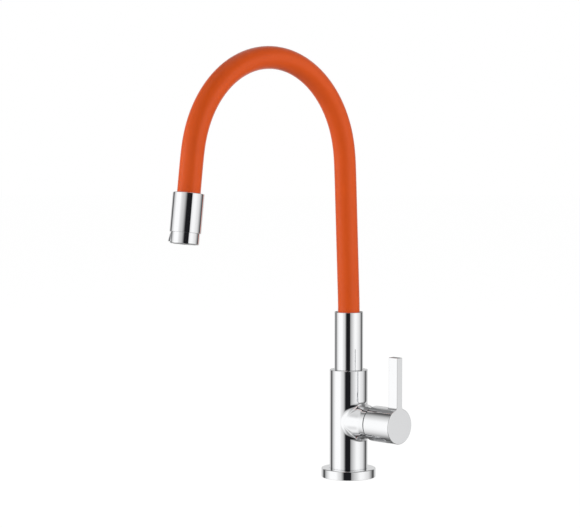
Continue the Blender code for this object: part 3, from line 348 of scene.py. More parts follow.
# Painted shade: a near-black metal for the neck's end under the cap's rim, standing in for the shade that falls
# there
NECK_SHADE_METAL = surface("unpolished_metal", (0.075, 0.078, 0.085), (0.060, 0.063, 0.070), (0.40, 0.55), 1)


def paint_nodes():
    """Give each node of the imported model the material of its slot."""
    for part in frame["record"]["subparts"]:
        node = frame["nodes"][part["node"]]
        for holder in node.material_slots:
            holder.material = MATERIALS[part["material_slot"]]


# Base


BRANCH_END, BODY_RADIUS, BODY_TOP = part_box("body")[1]
BODY_FOOT_RADIUS = 0.015
BODY_SHOULDER = 0.0091
BODY_EDGE = 0.0005
BODY_SOCKET_RADIUS = 0.0122
BODY_SOCKET_FLOOR = 0.0825
BODY_SOCKET_EDGE = 0.0003
BRANCH_RADIUS = 0.0163
BRANCH_ROOT_RADIUS = 0.0178
BRANCH_TOP_FILLET = 0.0030
BRANCH_SIDE_FILLET = 0.0100
BRANCH_NECK = 0.02881
BRANCH_EDGE = 0.0002
BRANCH_BORE_RADIUS = 0.0132
BRANCH_BORE_END = 0.008
# Where the painted shade band on the branch's neck begins
SHADE_BAND_START = 0.0339
PIVOT_REACH = 0.0332
TAPER_ROWS = 16
TAPER_EASE_SHARE = 0.25
FILLET_ROWS = 12
WINDOW_COLUMNS = 26
WINDOW_HALF_HEIGHT = 0.0222
WINDOW_ROWS = 26
PATCH_ROWS = 4
MATCH_ROUNDS = 30
GRUB_HEIGHT = 0.0959
GRUB_HOLE_RADIUS = 0.0025
GRUB_HOLE_DEPTH = 0.0062
GRUB_WINDOW_COLUMNS = 5
GRUB_WINDOW_HALF_HEIGHT = 0.0036
GRUB_WINDOW_ROWS = 8
# The two inlets and the stud hole: x, y, radius and depth
FOOT_BORES = ((-0.003, -0.007, 0.0046, 0.014), (-0.003, 0.007, 0.0046, 0.014), (0.009, 0, 0.0034, 0.014))
FIT_GAP = 0.0003
GASKET_WIDTH = 0.0045
GASKET_EDGE = 0.0003
FLANGE_EDGE = 0.0010
FLANGE_FOOT_EDGE = 0.0003


def build_flange():
    """The chrome base ring, with the gasket in a groove under it."""
    outer, _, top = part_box("base_flange")[1]
    low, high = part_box("base_gasket")
    rim = high.x
    inner = rim - GASKET_WIDTH
    bore = BODY_FOOT_RADIUS + FIT_GAP
    groove = high.z + FIT_GAP
    points = [(bore, 0), (inner - FIT_GAP, 0), (inner - FIT_GAP, groove), (rim + FIT_GAP, groove),
              (rim + FIT_GAP, 0), (outer, 0, FLANGE_FOOT_EDGE), (outer, top, FLANGE_EDGE), (bore, top)]
    turned("flange_ring", points, "base", "chrome", nodes=["base_flange"])
    points = [(inner, low.z, GASKET_EDGE), (rim, low.z, GASKET_EDGE), (rim, high.z), (inner, high.z)]
    turned("gasket_ring", points, "base", "black_rubber", nodes=["base_gasket"])


def wall_place(turn, height):
    """A point on the body's outer wall."""
    return place_at(BODY_RADIUS, turn, height)


def build_wall(skin, heights, windows, low_row, high_row):
    """The body's outer wall as a grid of points, left open at the windows.

    A window is (middle column, half its columns, lower row, upper row). Each one's outline comes
    back as (point number, angle, height), anticlockwise as seen from outside.
    """
    around = turns(SIDES)
    grid = [low_row]
    for height in heights[1:-1]:
        grid.append(skin.add(wall_place(turn, height) for turn in around))
    grid.append(high_row)
    normals = [level_direction(turn) for turn in around]
    opened = set()
    outlines = []
    for middle, half, low, high in windows:
        opened.update((row, column % SIDES) for row in range(low, high)
                      for column in range(middle - half, middle + half))
        right, left = middle + half, middle - half
        loop = [(row, right) for row in range(low, high)]
        loop += [(high, column) for column in range(right, left, -1)]
        loop += [(row, left) for row in range(high, low, -1)]
        loop += [(low, column) for column in range(left, right)]
        outlines.append([(grid[row][column % SIDES], math.tau * column / SIDES, heights[row])
                         for row, column in loop])
    for row in range(len(heights) - 1):
        for column in range(SIDES):
            if (row, column) in opened:
                continue
            after = (column + 1) % SIDES
            skin.face([grid[row][column], grid[row][after], grid[row + 1][after], grid[row + 1][column]],
                      [normals[column], normals[after], normals[after], normals[column]])
    return outlines


def match_turns(outline, middle, height, curve):
    """For each point of a window's outline, the turn at which the curve lies in its direction."""
    found = []
    for _, angle, level in outline:
        wanted = math.atan2(level - height, BODY_RADIUS * (angle - middle))
        turn = wanted
        for _ in range(MATCH_ROUNDS):
            on_angle, on_level = curve(turn)
            reached = math.atan2(on_level - height, BODY_RADIUS * (on_angle - middle))
            turn += math.remainder(wanted - reached, math.tau)
        found.append(turn)
    return found


def fill_window(skin, outline, middle, height, curve):
    """Wall rows from a window's outline to a curve on the wall; gives its row, normals and turns."""
    matched = match_turns(outline, middle, height, curve)
    ends = [curve(turn) for turn in matched]
    rows = [([number for number, _, _ in outline], [level_direction(angle) for _, angle, _ in outline])]
    for share in spaced(0, 1, PATCH_ROWS)[1:]:
        points = [(angle + (end_angle - angle) * share, level + (end_level - level) * share)
                  for (_, angle, level), (end_angle, end_level) in zip(outline, ends)]
        rows.append((skin.add(wall_place(*point) for point in points),
                     [level_direction(angle) for angle, _ in points]))
    skin.loft(rows)
    return *rows[-1], matched


def fillet_radius(turn):
    """The fillet between body and branch is wide where they meet flat, and tight above and below."""
    return BRANCH_TOP_FILLET + (BRANCH_SIDE_FILLET - BRANCH_TOP_FILLET) * math.cos(turn) ** 2


def fillet_centre(turn):
    """The middle of the ball that rolls in the corner between body and branch."""
    radius = fillet_radius(turn)
    reach = BRANCH_ROOT_RADIUS + radius
    side = reach * math.cos(turn)
    return Vector((math.sqrt((BODY_RADIUS + radius) ** 2 - side ** 2), side,
                   BRANCH_HEIGHT + reach * math.sin(turn)))


def junction_curve(turn):
    """Where the fillet round the branch leaves the body's wall."""
    centre = fillet_centre(turn)
    return math.atan2(centre.y, centre.x), centre.z


def taper_drop(share):
    """How far the branch has narrowed along its taper, and how steeply, both as shares."""
    steepest = 1 / (1 - TAPER_EASE_SHARE)
    rest = 1 - share
    if share < TAPER_EASE_SHARE:
        return steepest * share ** 2 / (2 * TAPER_EASE_SHARE), steepest * share / TAPER_EASE_SHARE
    if rest < TAPER_EASE_SHARE:
        return 1 - steepest * rest ** 2 / (2 * TAPER_EASE_SHARE), steepest * rest / TAPER_EASE_SHARE
    return steepest * (share - TAPER_EASE_SHARE / 2), steepest


def build_branch(skin, outline):
    """The side branch: fillet, taper down to the neck, end face, cavity and its back."""
    row, normals, matched = fill_window(skin, outline, 0, BRANCH_HEIGHT, junction_curve)
    outward = [Vector((0, math.cos(turn), math.sin(turn))) for turn in matched]
    inward = [-direction for direction in outward]
    centres = [fillet_centre(turn) for turn in matched]
    ahead = Vector((1, 0, 0))

    def ring(radius, reach):
        return skin.add(Vector((reach, 0, BRANCH_HEIGHT)) + radius * direction for direction in outward)

    rows = [(row, normals)]
    for share in spaced(0, 1, FILLET_ROWS)[1:]:
        toward = [(-normal).slerp(end, share) for normal, end in zip(normals, inward)]
        places = [centre + fillet_radius(turn) * direction
                  for centre, direction, turn in zip(centres, toward, matched)]
        rows.append((skin.add(places), [-direction for direction in toward]))
    step_down = BRANCH_ROOT_RADIUS - BRANCH_RADIUS
    for share in spaced(0, 1, TAPER_ROWS)[1:]:
        drop, slope = taper_drop(share)
        radius = BRANCH_ROOT_RADIUS - step_down * drop
        places = []
        leaning = []
        for centre, direction in zip(centres, outward):
            length = BRANCH_NECK - centre.x
            places.append(Vector((centre.x + length * share, 0, BRANCH_HEIGHT)) + radius * direction)
            leaning.append((direction + slope * step_down / length * ahead).normalized())
        rows.append((skin.add(places), leaning))
    # A row where the painted shade band on the neck starts
    rows.append((ring(BRANCH_RADIUS, SHADE_BAND_START), outward))
    rows += rounded_rim(ring, outward, ahead, BRANCH_RADIUS, BRANCH_END, BRANCH_EDGE)
    skin.loft(rows)
    mouth = ring(BRANCH_BORE_RADIUS, BRANCH_END)
    back = ring(BRANCH_BORE_RADIUS, BRANCH_BORE_END)
    skin.strip(rows[-1][0], mouth, [ahead], [ahead])
    skin.strip(mouth, back, inward, inward)
    skin.flat(back, ahead)


def grub_curve(turn):
    """The rim of the grub screw's hole, at the back of the body."""
    side = GRUB_HOLE_RADIUS * math.cos(turn)
    return QUARTER + math.asin(side / BODY_RADIUS), GRUB_HEIGHT + GRUB_HOLE_RADIUS * math.sin(turn)


def build_grub_hole(skin, outline):
    """The grub screw's hole."""
    row, _, matched = fill_window(skin, outline, QUARTER, GRUB_HEIGHT, grub_curve)
    outward = [Vector((-math.cos(turn), 0, math.sin(turn))) for turn in matched]
    inward = [-direction for direction in outward]
    floor = Vector((0, BODY_RADIUS - GRUB_HOLE_DEPTH, GRUB_HEIGHT))
    bottom = skin.add(floor + GRUB_HOLE_RADIUS * direction for direction in outward)
    skin.strip(row, bottom, inward, inward)
    skin.flat(bottom, Vector((0, 1, 0)))


def build_foot(skin, rim):
    """The flat underside with the two inlets and the stud hole."""
    down = Vector((0, 0, -1))
    form = bmesh.new()
    rings = [[form.verts.new(skin.places[number]) for number in rim]]
    numbers = {corner: number for corner, number in zip(rings[0], rim)}
    outward = [level_direction(turn) for turn in turns(SMALL_SIDES)]
    inward = [-direction for direction in outward]
    for x, y, radius, depth in FOOT_BORES:
        mouth = skin.add(Vector((x, y, 0)) + radius * direction for direction in outward)
        inner = skin.add(Vector((x, y, depth)) + radius * direction for direction in outward)
        skin.strip(inner, mouth, inward, inward)
        skin.flat(inner, down)
        corners = [form.verts.new(skin.places[number]) for number in mouth]
        numbers.update(zip(corners, mouth))
        rings.append(corners)
    edges = [form.edges.new((ring[step - 1], ring[step])) for ring in rings for step in range(len(ring))]
    bmesh.ops.triangle_fill(form, use_beauty=True, use_dissolve=False, edges=edges)
    for face in form.faces:
        corners = [numbers[corner] for corner in face.verts]
        if face.normal.z > 0:
            corners.reverse()
        skin.flat(corners, down)
    form.free()


def build_body():
    """The main casting."""
    skin = Skin()
    lower = section([(BODY_FOOT_RADIUS, 0), (BODY_FOOT_RADIUS, BODY_SHOULDER), (BODY_RADIUS, BODY_SHOULDER)],
                    closed=False)
    foot_rim, low_row = turn_section(skin, lower, SIDES)
    wall_top = BODY_TOP - BODY_EDGE
    upper = section([(BODY_RADIUS, BODY_SHOULDER), (BODY_RADIUS, BODY_TOP, BODY_EDGE),
                     (BODY_SOCKET_RADIUS, BODY_TOP, BODY_SOCKET_EDGE),
                     (BODY_SOCKET_RADIUS, BODY_SOCKET_FLOOR), (0, BODY_SOCKET_FLOOR)], closed=False)[1:]
    high_row = skin.add(wall_place(turn, wall_top) for turn in turns(SIDES))
    turn_section(skin, upper, SIDES, first_row=high_row)
    branch_levels = spaced(BRANCH_HEIGHT - WINDOW_HALF_HEIGHT, BRANCH_HEIGHT + WINDOW_HALF_HEIGHT,
                           WINDOW_ROWS)
    grub_levels = spaced(GRUB_HEIGHT - GRUB_WINDOW_HALF_HEIGHT, GRUB_HEIGHT + GRUB_WINDOW_HALF_HEIGHT,
                         GRUB_WINDOW_ROWS)
    heights = [BODY_SHOULDER] + branch_levels + grub_levels + [wall_top]
    first_grub = 1 + len(branch_levels)
    windows = [(0, WINDOW_COLUMNS, 1, 1 + WINDOW_ROWS),
               (SIDES // 4, GRUB_WINDOW_COLUMNS, first_grub, first_grub + GRUB_WINDOW_ROWS)]
    branch_outline, grub_outline = build_wall(skin, heights, windows, low_row, high_row)
    build_branch(skin, branch_outline)
    build_grub_hole(skin, grub_outline)
    build_foot(skin, foot_rim)
    casting = finish_skin("body_casting", skin, "base", "chrome", nodes=["body"])
    # Faces of the neck's end past the band's start get the near-black metal: painted shade under the cap's rim
    casting.data.materials.append(NECK_SHADE_METAL)
    for face in casting.data.polygons:
        if face.center.x > SHADE_BAND_START:
            face.material_index = 1


DOME_RADIUS = 0.01647
DOME_WALL = 0.0012
DOME_HOLE_RADIUS = 0.0105
DOME_STEPS = 16


def build_dome():
    """The dome under the handle's cap: part of a ball round the pivot, hollow, with a hole on top."""
    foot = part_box("dome_cover")[0].x

    def arc(radius, side):
        low = math.acos((foot - PIVOT_REACH) / radius)
        high = math.asin(DOME_HOLE_RADIUS / radius)
        normals = [Vector((math.sin(turn), math.cos(turn))) for turn in spaced(low, high, DOME_STEPS)]
        return [(Vector((0, PIVOT_REACH)) + radius * normal, side * normal) for normal in normals]

    outside = arc(DOME_RADIUS, 1)
    inside = arc(DOME_RADIUS - DOME_WALL, -1)[::-1]
    up = Vector((0, 1))
    runs = [outside, [(outside[-1][0], up), (inside[0][0], up)], inside,
            [(inside[-1][0], -up), (outside[0][0], -up)]]
    skin = Skin()
    turn_section(skin, runs, SIDES, closed=True)
    finish_skin("dome_shell", skin, "base", "chrome", BRANCH, ["dome_cover"])


SCREW_BEVEL = 0.0002
SCREW_SOCKET_SHARE = 0.55
SCREW_SOCKET_DEPTH = 0.0018


def build_grub_screw():
    """The headless screw at the back of the body, with a hexagon socket in its end."""
    low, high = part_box("spout_grub_screw")
    radius = high.x
    length = high.y - low.y
    sixth = math.pi / 3
    around = turns(SMALL_SIDES)
    outward = [level_direction(turn) for turn in around]
    up = Vector((0, 0, 1))
    skin = Skin()

    def ring(reaches, height):
        return skin.add(reach * direction + height * up for reach, direction in zip(reaches, outward))

    hexagon = [radius * SCREW_SOCKET_SHARE * math.cos(sixth / 2) / math.cos(turn % sixth - sixth / 2)
               for turn in around]
    bottom = ring([radius] * SMALL_SIDES, 0)
    top = ring([radius] * SMALL_SIDES, length - SCREW_BEVEL)
    bevel = ring([radius - SCREW_BEVEL] * SMALL_SIDES, length)
    mouth = ring(hexagon, length)
    floor = ring(hexagon, length - SCREW_SOCKET_DEPTH)
    slope = [(direction + up).normalized() for direction in outward]
    walls = [-level_direction((math.floor(turn / sixth) + 0.5) * sixth) for turn in around]
    skin.flat(bottom[::-1], -up)
    skin.strip(bottom, top, outward, outward)
    skin.strip(top, bevel, slope, slope)
    skin.strip(bevel, mouth, [up], [up])
    skin.strip(mouth, floor, walls, walls)
    skin.flat(floor, up)
    finish_skin("grub_screw", skin, "base", "steel", axis_matrix((0, low.y, GRUB_HEIGHT), (0, 1, 0)),
                ["spout_grub_screw"])


# Handle


HANDLE_RADIUS = BRANCH_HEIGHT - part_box("lever_handle")[0].z
HANDLE_EDGE = 0.0006
CAP_BORE_RADIUS = 0.0168
CAP_DOME_GAP = 0.0006
CAP_RIM_EDGE = 0.0003
LEVER_DEPTH = 0.0115
LEVER_HALF = 0.0038
LEVER_FILLET = 0.003
LEVER_CORNER = 0.0008
LEVER_BACK_EDGE = 0.0005
DISC_STEPS = 150
FILLET_STEPS = 10
UNDER_STEPS = 14


def arc_points(centre, radius, start, end, steps, sign=1):
    """Places and normals along an arc; with a sign of -1 the normals point to its middle."""
    normals = [Vector((math.cos(turn), math.sin(turn))) for turn in spaced(start, end, steps)]
    return [(Vector(centre) + radius * normal, sign * normal) for normal in normals]


def handle_outline():
    """Outline of the end plate: the disc's places and normals, the bar's, and the bar's shares.

    Places are (side, rise) from the handle's axis. The disc's run anticlockwise from the bar's left
    side to its right side, as seen from the handle's end, and the bar's go on over the bar. A share
    says how much of the rear rounding a place of the bar has.
    """
    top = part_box("lever_handle")[1].z - BRANCH_HEIGHT
    side = LEVER_HALF + LEVER_FILLET
    join = math.asin(side / (HANDLE_RADIUS + LEVER_FILLET))
    rise = (HANDLE_RADIUS + LEVER_FILLET) * math.cos(join)
    disc = arc_points((0, 0), HANDLE_RADIUS, QUARTER + join, QUARTER + math.tau - join, DISC_STEPS)
    right = arc_points((side, rise), LEVER_FILLET, -QUARTER - join, -math.pi, FILLET_STEPS, -1)
    left = arc_points((-side, rise), LEVER_FILLET, 0, join - QUARTER, FILLET_STEPS, -1)
    inset = LEVER_HALF - LEVER_CORNER
    over = arc_points((inset, top - LEVER_CORNER), LEVER_CORNER, 0, QUARTER, CORNER_STEPS)
    over += arc_points((-inset, top - LEVER_CORNER), LEVER_CORNER, QUARTER, math.pi, CORNER_STEPS)
    shares = spaced(0, 1, FILLET_STEPS)
    return disc, right[1:] + over + left[:-1], shares[1:] + [1] * len(over) + shares[:0:-1]


def build_lever():
    """The cast handle: a cap over the branch, and the flat lever flush with its end."""
    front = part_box("lever_handle")[1].x
    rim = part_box("lever_handle")[0].x
    back = front - LEVER_DEPTH
    disc, bar, shares = handle_outline()
    quarter_turns = spaced(0, QUARTER, CORNER_STEPS)
    ahead = Vector((1, 0, 0))
    skin = Skin()

    def place(flat, reach):
        return Vector((reach, flat.x, BRANCH_HEIGHT + flat.y))

    def lift(flat):
        return Vector((0, flat.x, flat.y))

    # The end plate and its rounded edge
    normals = [lift(normal) for _, normal in disc + bar]
    rows = []
    for turn in quarter_turns:
        row = skin.add(place(flat - normal * HANDLE_EDGE * (1 - math.sin(turn)),
                             front - HANDLE_EDGE * (1 - math.cos(turn))) for flat, normal in disc + bar)
        rows.append((row, [math.cos(turn) * ahead + math.sin(turn) * normal for normal in normals]))
    skin.flat(rows[0][0], ahead)
    skin.loft(rows[::-1])
    # The disc's part of the edge runs back to the rim, the bar's part to its rear face
    disc_back = skin.add(place(flat, back) for flat, _ in disc)
    bar_rows = []
    for turn in quarter_turns:
        row = skin.add(place(flat - normal * LEVER_BACK_EDGE * share * (1 - math.cos(turn)),
                             back + LEVER_BACK_EDGE * share * (1 - math.sin(turn)))
                       for (flat, normal), share in zip(bar, shares))
        leaning = [math.cos(turn) * lift(normal) - math.sin(turn) * ahead for _, normal in bar]
        bar_rows.append(([disc_back[-1]] + row + [disc_back[0]],
                         [normals[len(disc) - 1]] + leaning + [normals[0]]))
    skin.strip(disc_back + bar_rows[0][0][1:-1], rows[-1][0], normals, normals)
    skin.loft(bar_rows[::-1], closed=False)
    join = math.atan2(disc[0][0].x, disc[0][0].y)
    under = [Vector((math.sin(turn), math.cos(turn))) for turn in spaced(-join, join, UNDER_STEPS)[1:-1]]
    under_back = skin.add(place(HANDLE_RADIUS * direction, back) for direction in under)
    skin.flat(under_back + bar_rows[-1][0][::-1], -ahead)
    # The round cap, from the lever's rear plane to the rim, its bore and the bore's end
    directions = [flat.normalized() for flat, _ in disc] + under
    outward = [lift(direction) for direction in directions]
    inward = [-direction for direction in outward]

    def ring(radius, reach):
        return skin.add(place(radius * direction, reach) for direction in directions)

    rows = [(disc_back + under_back, outward)]
    rows += rounded_rim(ring, outward, -ahead, HANDLE_RADIUS, rim, CAP_RIM_EDGE)
    rows.append((ring(CAP_BORE_RADIUS, rim), [-ahead]))
    skin.loft(rows[::-1])
    bore_end = ring(CAP_BORE_RADIUS, PIVOT_REACH + DOME_RADIUS + CAP_DOME_GAP)
    skin.strip(bore_end, rows[-1][0], inward, inward)
    skin.flat(bore_end[::-1], -ahead)
    finish_skin("handle_casting", skin, "handle", "chrome", nodes=["lever_handle"])


# Rows of the plug over the handle's screw: reach from its middle, rise past the cap's surface, and
# the outward and upward parts of the normal
PLUG_ROWS = ((0.0027, -0.002, 1, 0), (0.0027, 0.00003, 1, 0), (0.0026, 0.0001, 0.7, 0.7),
             (0.0024, 0.00014, 0, 1), (0.0009, 0.00014, 0, 1))


def build_screw_cap():
    """The plug over the handle's screw, domed a little past the cap's underside."""
    low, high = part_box("screw_cap")
    ahead = Vector((1, 0, 0))
    middle = Vector(((low.x + high.x) / 2, 0, BRANCH_HEIGHT))
    skin = Skin()
    rows = []
    for reach, rise, out, up in PLUG_ROWS:
        places = []
        normals = []
        for turn in turns(SMALL_SIDES):
            lean = math.asin(reach * math.sin(turn) / HANDLE_RADIUS)
            away = Vector((0, math.sin(lean), -math.cos(lean)))
            outward = math.cos(turn) * ahead + math.sin(turn) * Vector((0, math.cos(lean), math.sin(lean)))
            places.append(middle + reach * math.cos(turn) * ahead + (HANDLE_RADIUS + rise) * away)
            normals.append((out * outward + up * away).normalized())
        rows.append((skin.add(places), normals))
    skin.loft(rows[::-1])
    skin.flat(rows[-1][0][::-1], Vector((0, 0, -1)))
    skin.flat(rows[0][0], Vector((0, 0, 1)))
    finish_skin("screw_plug", skin, "handle", "grey_plastic", nodes=["screw_cap"])


# Spout base


COLLAR_BORE = 0.0099
COLLAR_MOUTH = 0.0117
COLLAR_FLOOR_HEIGHT = 0.0118
COLLAR_EDGE = 0.0005
COLLAR_MOUTH_EDGE = 0.0004
SKIRT_GAP = 0.0001
WASHER_BORE = 0.0098
WASHER_EDGE = 0.0002


def build_collar():
    """The riser collar, with a thin skirt round the washer under it, and the washer."""
    ring_low, ring_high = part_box("swivel_washer")
    low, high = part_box("riser_collar")
    skirt = ring_high.x + SKIRT_GAP
    foot = BODY_TOP + SKIRT_GAP
    floor = low.z + COLLAR_FLOOR_HEIGHT
    points = [(COLLAR_BORE, low.z), (skirt, low.z), (skirt, foot), (high.x, foot, WASHER_EDGE),
              (high.x, high.z, COLLAR_EDGE), (COLLAR_MOUTH, high.z, COLLAR_MOUTH_EDGE),
              (COLLAR_MOUTH, floor), (COLLAR_BORE, floor)]
    turned("collar_tube", points, "spout", "chrome", nodes=["riser_collar"])
    points = [(WASHER_BORE, ring_low.z), (ring_high.x, ring_low.z, WASHER_EDGE),
              (ring_high.x, ring_high.z, WASHER_EDGE), (WASHER_BORE, ring_high.z)]
    turned("collar_washer", points, "spout", "grey_plastic", nodes=["swivel_washer"])


# Hose


HOSE_LENGTH = 0.500
HOSE_LINKS = 8
LINK_LENGTH = HOSE_LENGTH / HOSE_LINKS
RISER_LEAN = 2.4
LEAN_RUN = 0.015
RISER_LENGTH = 0.1535
ARCH_RADIUS = 0.1035
ARCH_ANGLE = 170.6
BEND_EASE = 0.006
ROUTE_STEP = 0.0005
SLEEVE_RADIUS = 0.0110
SLEEVE_BORE = 0.0086
SLEEVE_SIDES = 56
SLEEVE_STEP = 0.002
SLEEVE_START = -0.018
SLEEVE_END = HOSE_LENGTH + 0.006
INNER_END = HOSE_LENGTH + 0.0137
INNER_SIDES = 24
GOOSENECK_RADIUS = 0.0082
GOOSENECK_BORE = 0.0072
GOOSENECK_STEP = 0.001
WIRE_PITCH = 0.004
WIRE_DIP = 0.00035
WATER_HOSE_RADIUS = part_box("water_hose_1")[1].x
WATER_HOSE_BORE = 0.0050
WATER_HOSE_STEP = 0.004


def ramp(distance):
    """A ramp that starts at zero distance, with its corner eased."""
    return BEND_EASE * math.log1p(math.exp(-abs(distance) / BEND_EASE)) + max(distance, 0)


def heading(distance):
    """The hose's angle from straight up at a distance from the collar's mouth."""
    lean = math.radians(RISER_LEAN) * min(1, max(0, distance) / LEAN_RUN)
    arch = math.radians(ARCH_ANGLE) * ARCH_RADIUS
    return lean + (ramp(distance - RISER_LENGTH) - ramp(distance - RISER_LENGTH - arch)) / ARCH_RADIUS


def direction_at(angle):
    """The direction of the hose's middle line for an angle from straight up."""
    return Vector((0, -math.sin(angle), math.cos(angle)))


def trace_route():
    """Points at even steps along the hose's middle line."""
    place = Vector((0, 0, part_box("riser_collar")[1].z))
    points = [place.copy()]
    for number in range(round(HOSE_LENGTH / ROUTE_STEP)):
        place = place + ROUTE_STEP * direction_at(heading(ROUTE_STEP * (number + 0.5)))
        points.append(place.copy())
    return points


ROUTE = trace_route()


def station(distance):
    """The place and direction of the hose's middle line at a distance from the collar."""
    if distance <= 0:
        return ROUTE[0] + Vector((0, 0, distance)), Vector((0, 0, 1))
    along = direction_at(heading(min(distance, HOSE_LENGTH)))
    if distance >= HOSE_LENGTH:
        return ROUTE[-1] + along * (distance - HOSE_LENGTH), along
    number = min(int(distance / ROUTE_STEP), len(ROUTE) - 2)
    return ROUTE[number].lerp(ROUTE[number + 1], distance / ROUTE_STEP - number), along


def wire_dip(distance):
    """How far the gooseneck's surface dips between the turns of its wire."""
    return WIRE_DIP * (1 - abs(math.cos(math.pi * distance / WIRE_PITCH)))


def hose_piece(start, end, inner, outer, sides, step_length, dip):
    """A stretch of tube along the route, closed at both ends; a dip makes the outside ripple."""
    skin = Skin()
    around = turns(sides)
    across = Vector((1, 0, 0))
    distances = spaced(start, end, max(1, round((end - start) / step_length)))

    def ring(distance, radius, sign):
        middle, along = station(distance)
        other = along.cross(across)
        directions = [across * math.cos(turn) + other * math.sin(turn) for turn in around]
        row = skin.add(middle + radius * direction for direction in directions)
        return row, [sign * direction for direction in directions]

    outside = [ring(distance, outer - (dip(distance) if dip else 0), 1) for distance in distances]
    inside = [ring(distance, inner, -1) for distance in distances]
    skin.loft(outside)
    skin.loft(inside[::-1])
    start_normal = [-station(start)[1]]
    end_normal = [station(end)[1]]
    skin.strip(inside[0][0], outside[0][0], start_normal, start_normal)
    skin.strip(outside[-1][0], inside[-1][0], end_normal, end_normal)
    return skin


def build_hose_layer(name, node, slot, inner, outer, ends, sides, step_length, dip=None):
    """One tube of the hose, in pieces cut at the middle of each link; the first rides on the spout, the last on
    the last link.
    """
    middles = [LINK_LENGTH * (number + 0.5) for number in range(HOSE_LINKS)]
    cuts = [ends[0]] + middles + [ends[1]]
    bodies = ["spout"] + ["hose_" + str(number) for number in range(2, HOSE_LINKS + 1)]
    for number, (start, end) in enumerate(zip(cuts, cuts[1:])):
        skin = hose_piece(start, end, inner, outer, sides, step_length, dip)
        stretch = 0 < number < HOSE_LINKS
        body = None if stretch else bodies[0 if number == 0 else -1]
        piece = finish_skin(name + "_" + str(number + 1), skin, body, slot)
        if stretch:
            first = station(start)[0]
            last = station(end)[0]
            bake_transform(piece)
        if number < HOSE_LINKS:
            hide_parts(node + "_" + str(number + 1))


def build_hose():
    """The silicone sleeve, the wound gooseneck and the water hose."""
    inner_ends = (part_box("water_hose_1")[0].z - ROUTE[0].z, INNER_END)
    build_hose_layer("silicone_sleeve", "sleeve", "orange_silicone", SLEEVE_BORE, SLEEVE_RADIUS,
                     (SLEEVE_START, SLEEVE_END), SLEEVE_SIDES, SLEEVE_STEP)
    build_hose_layer("wound_gooseneck", "gooseneck", "steel", GOOSENECK_BORE, GOOSENECK_RADIUS,
                     inner_ends, INNER_SIDES, GOOSENECK_STEP, wire_dip)
    build_hose_layer("inner_hose", "water_hose", "water_tube", WATER_HOSE_BORE, WATER_HOSE_RADIUS,
                     inner_ends, INNER_SIDES, WATER_HOSE_STEP)


# Spray head, with heights measured down from its top


HEAD_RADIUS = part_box("head_shell")[1].x
HEAD_LENGTH = 0.0369
HEAD_MOUTH = 0.0117
HEAD_BORE = 0.0131
HEAD_ROOF = 0.005
HEAD_TOP_EDGE = 0.0006
HEAD_MOUTH_EDGE = 0.0003
HEAD_FOOT_EDGE = 0.0002
MODE_RING_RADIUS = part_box("mode_ring")[1].x
MODE_RING_NECK = 0.0128
MODE_RING_BORE = 0.0112
MODE_RING_START = 0.0338
MODE_RING_END = 0.0476
MODE_RING_GAP = 0.0001
MODE_RING_SHOULDER_EDGE = 0.0001
MODE_RING_EDGE = 0.0010
MODE_RING_BORE_EDGE = 0.0003
TAB_ANGLE = 137
TAB_REACH = 0.0152
TAB_HALF = 0.0045
TAB_START_INSET = 0.0006
TAB_START_SINK = 0.0003
TAB_END_INSET = 0.0016
TAB_EDGE = 0.0004
TAB_EDGE_STEPS = 4
TAB_SHARP_ANGLE = 50
PLATE_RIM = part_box("spray_plate")[1].x
PLATE_BORE = 0.0074
PLATE_FACE = 0.0461
PLATE_DEPTH = 0.0045
PLATE_EDGE = 0.0003
NUB_COUNT = 12
NUB_RADIUS = 0.00125
NUB_TIP_RADIUS = 0.00100
NUB_HOLE_RADIUS = 0.00055
NUB_HEIGHT = 0.0008
NUB_EDGE = 0.0002
NUB_SIDES = 24
CUP_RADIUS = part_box("aerator")[1].x
CUP_BORE = 0.0059
CUP_FOOT = 0.04685
CUP_HEIGHT = 0.0062
CUP_EDGE = 0.0003
BAR_COUNT = 3
BAR_HALF = 0.00045
BAR_DEPTH = 0.001
BAR_SETBACK = 0.0012
BAR_EDGE = 0.00015
BAR_EDGE_STEPS = 3
SCREEN_SETBACK = 0.0026
WIRE_HALF = 0.00012
WIRE_SPACING = 0.0008
WIRE_REACH = 0.0057


def build_head():
    """The head's shell."""
    points = [(HEAD_MOUTH, 0, HEAD_MOUTH_EDGE), (HEAD_RADIUS, 0, HEAD_TOP_EDGE),
              (HEAD_RADIUS, HEAD_LENGTH, HEAD_FOOT_EDGE), (HEAD_BORE, HEAD_LENGTH),
              (HEAD_BORE, HEAD_ROOF), (HEAD_MOUTH, HEAD_ROOF)]
    turned("head_tube", points, "head", "chrome", HEAD, ["head_shell"])


def build_mode_ring():
    """The ring below the shell."""
    shoulder = HEAD_LENGTH + MODE_RING_GAP
    points = [(MODE_RING_BORE, MODE_RING_START), (MODE_RING_NECK, MODE_RING_START),
              (MODE_RING_NECK, shoulder), (MODE_RING_RADIUS, shoulder, MODE_RING_SHOULDER_EDGE),
              (MODE_RING_RADIUS, MODE_RING_END, MODE_RING_EDGE),
              (MODE_RING_BORE, MODE_RING_END, MODE_RING_BORE_EDGE)]
    turned("mode_collar", points, "mode", "chrome", HEAD, ["mode_ring"])


def add_block(form, first, last):
    """A straight-sided block between two outlines with as many points."""
    rings = [[form.verts.new(place) for place in outline] for outline in (first, last)]
    for step in range(len(first)):
        after = (step + 1) % len(first)
        form.faces.new([rings[0][step], rings[0][after], rings[1][after], rings[1][step]])
    form.faces.new(rings[0][:1] + rings[0][:0:-1])
    form.faces.new(rings[1])


def round_edges(form, offset, steps):
    """Round all edges of straight-sided work."""
    bmesh.ops.bevel(form, geom=form.edges, offset=offset, segments=steps, affect="EDGES",
                    profile=BEVEL_PROFILE)


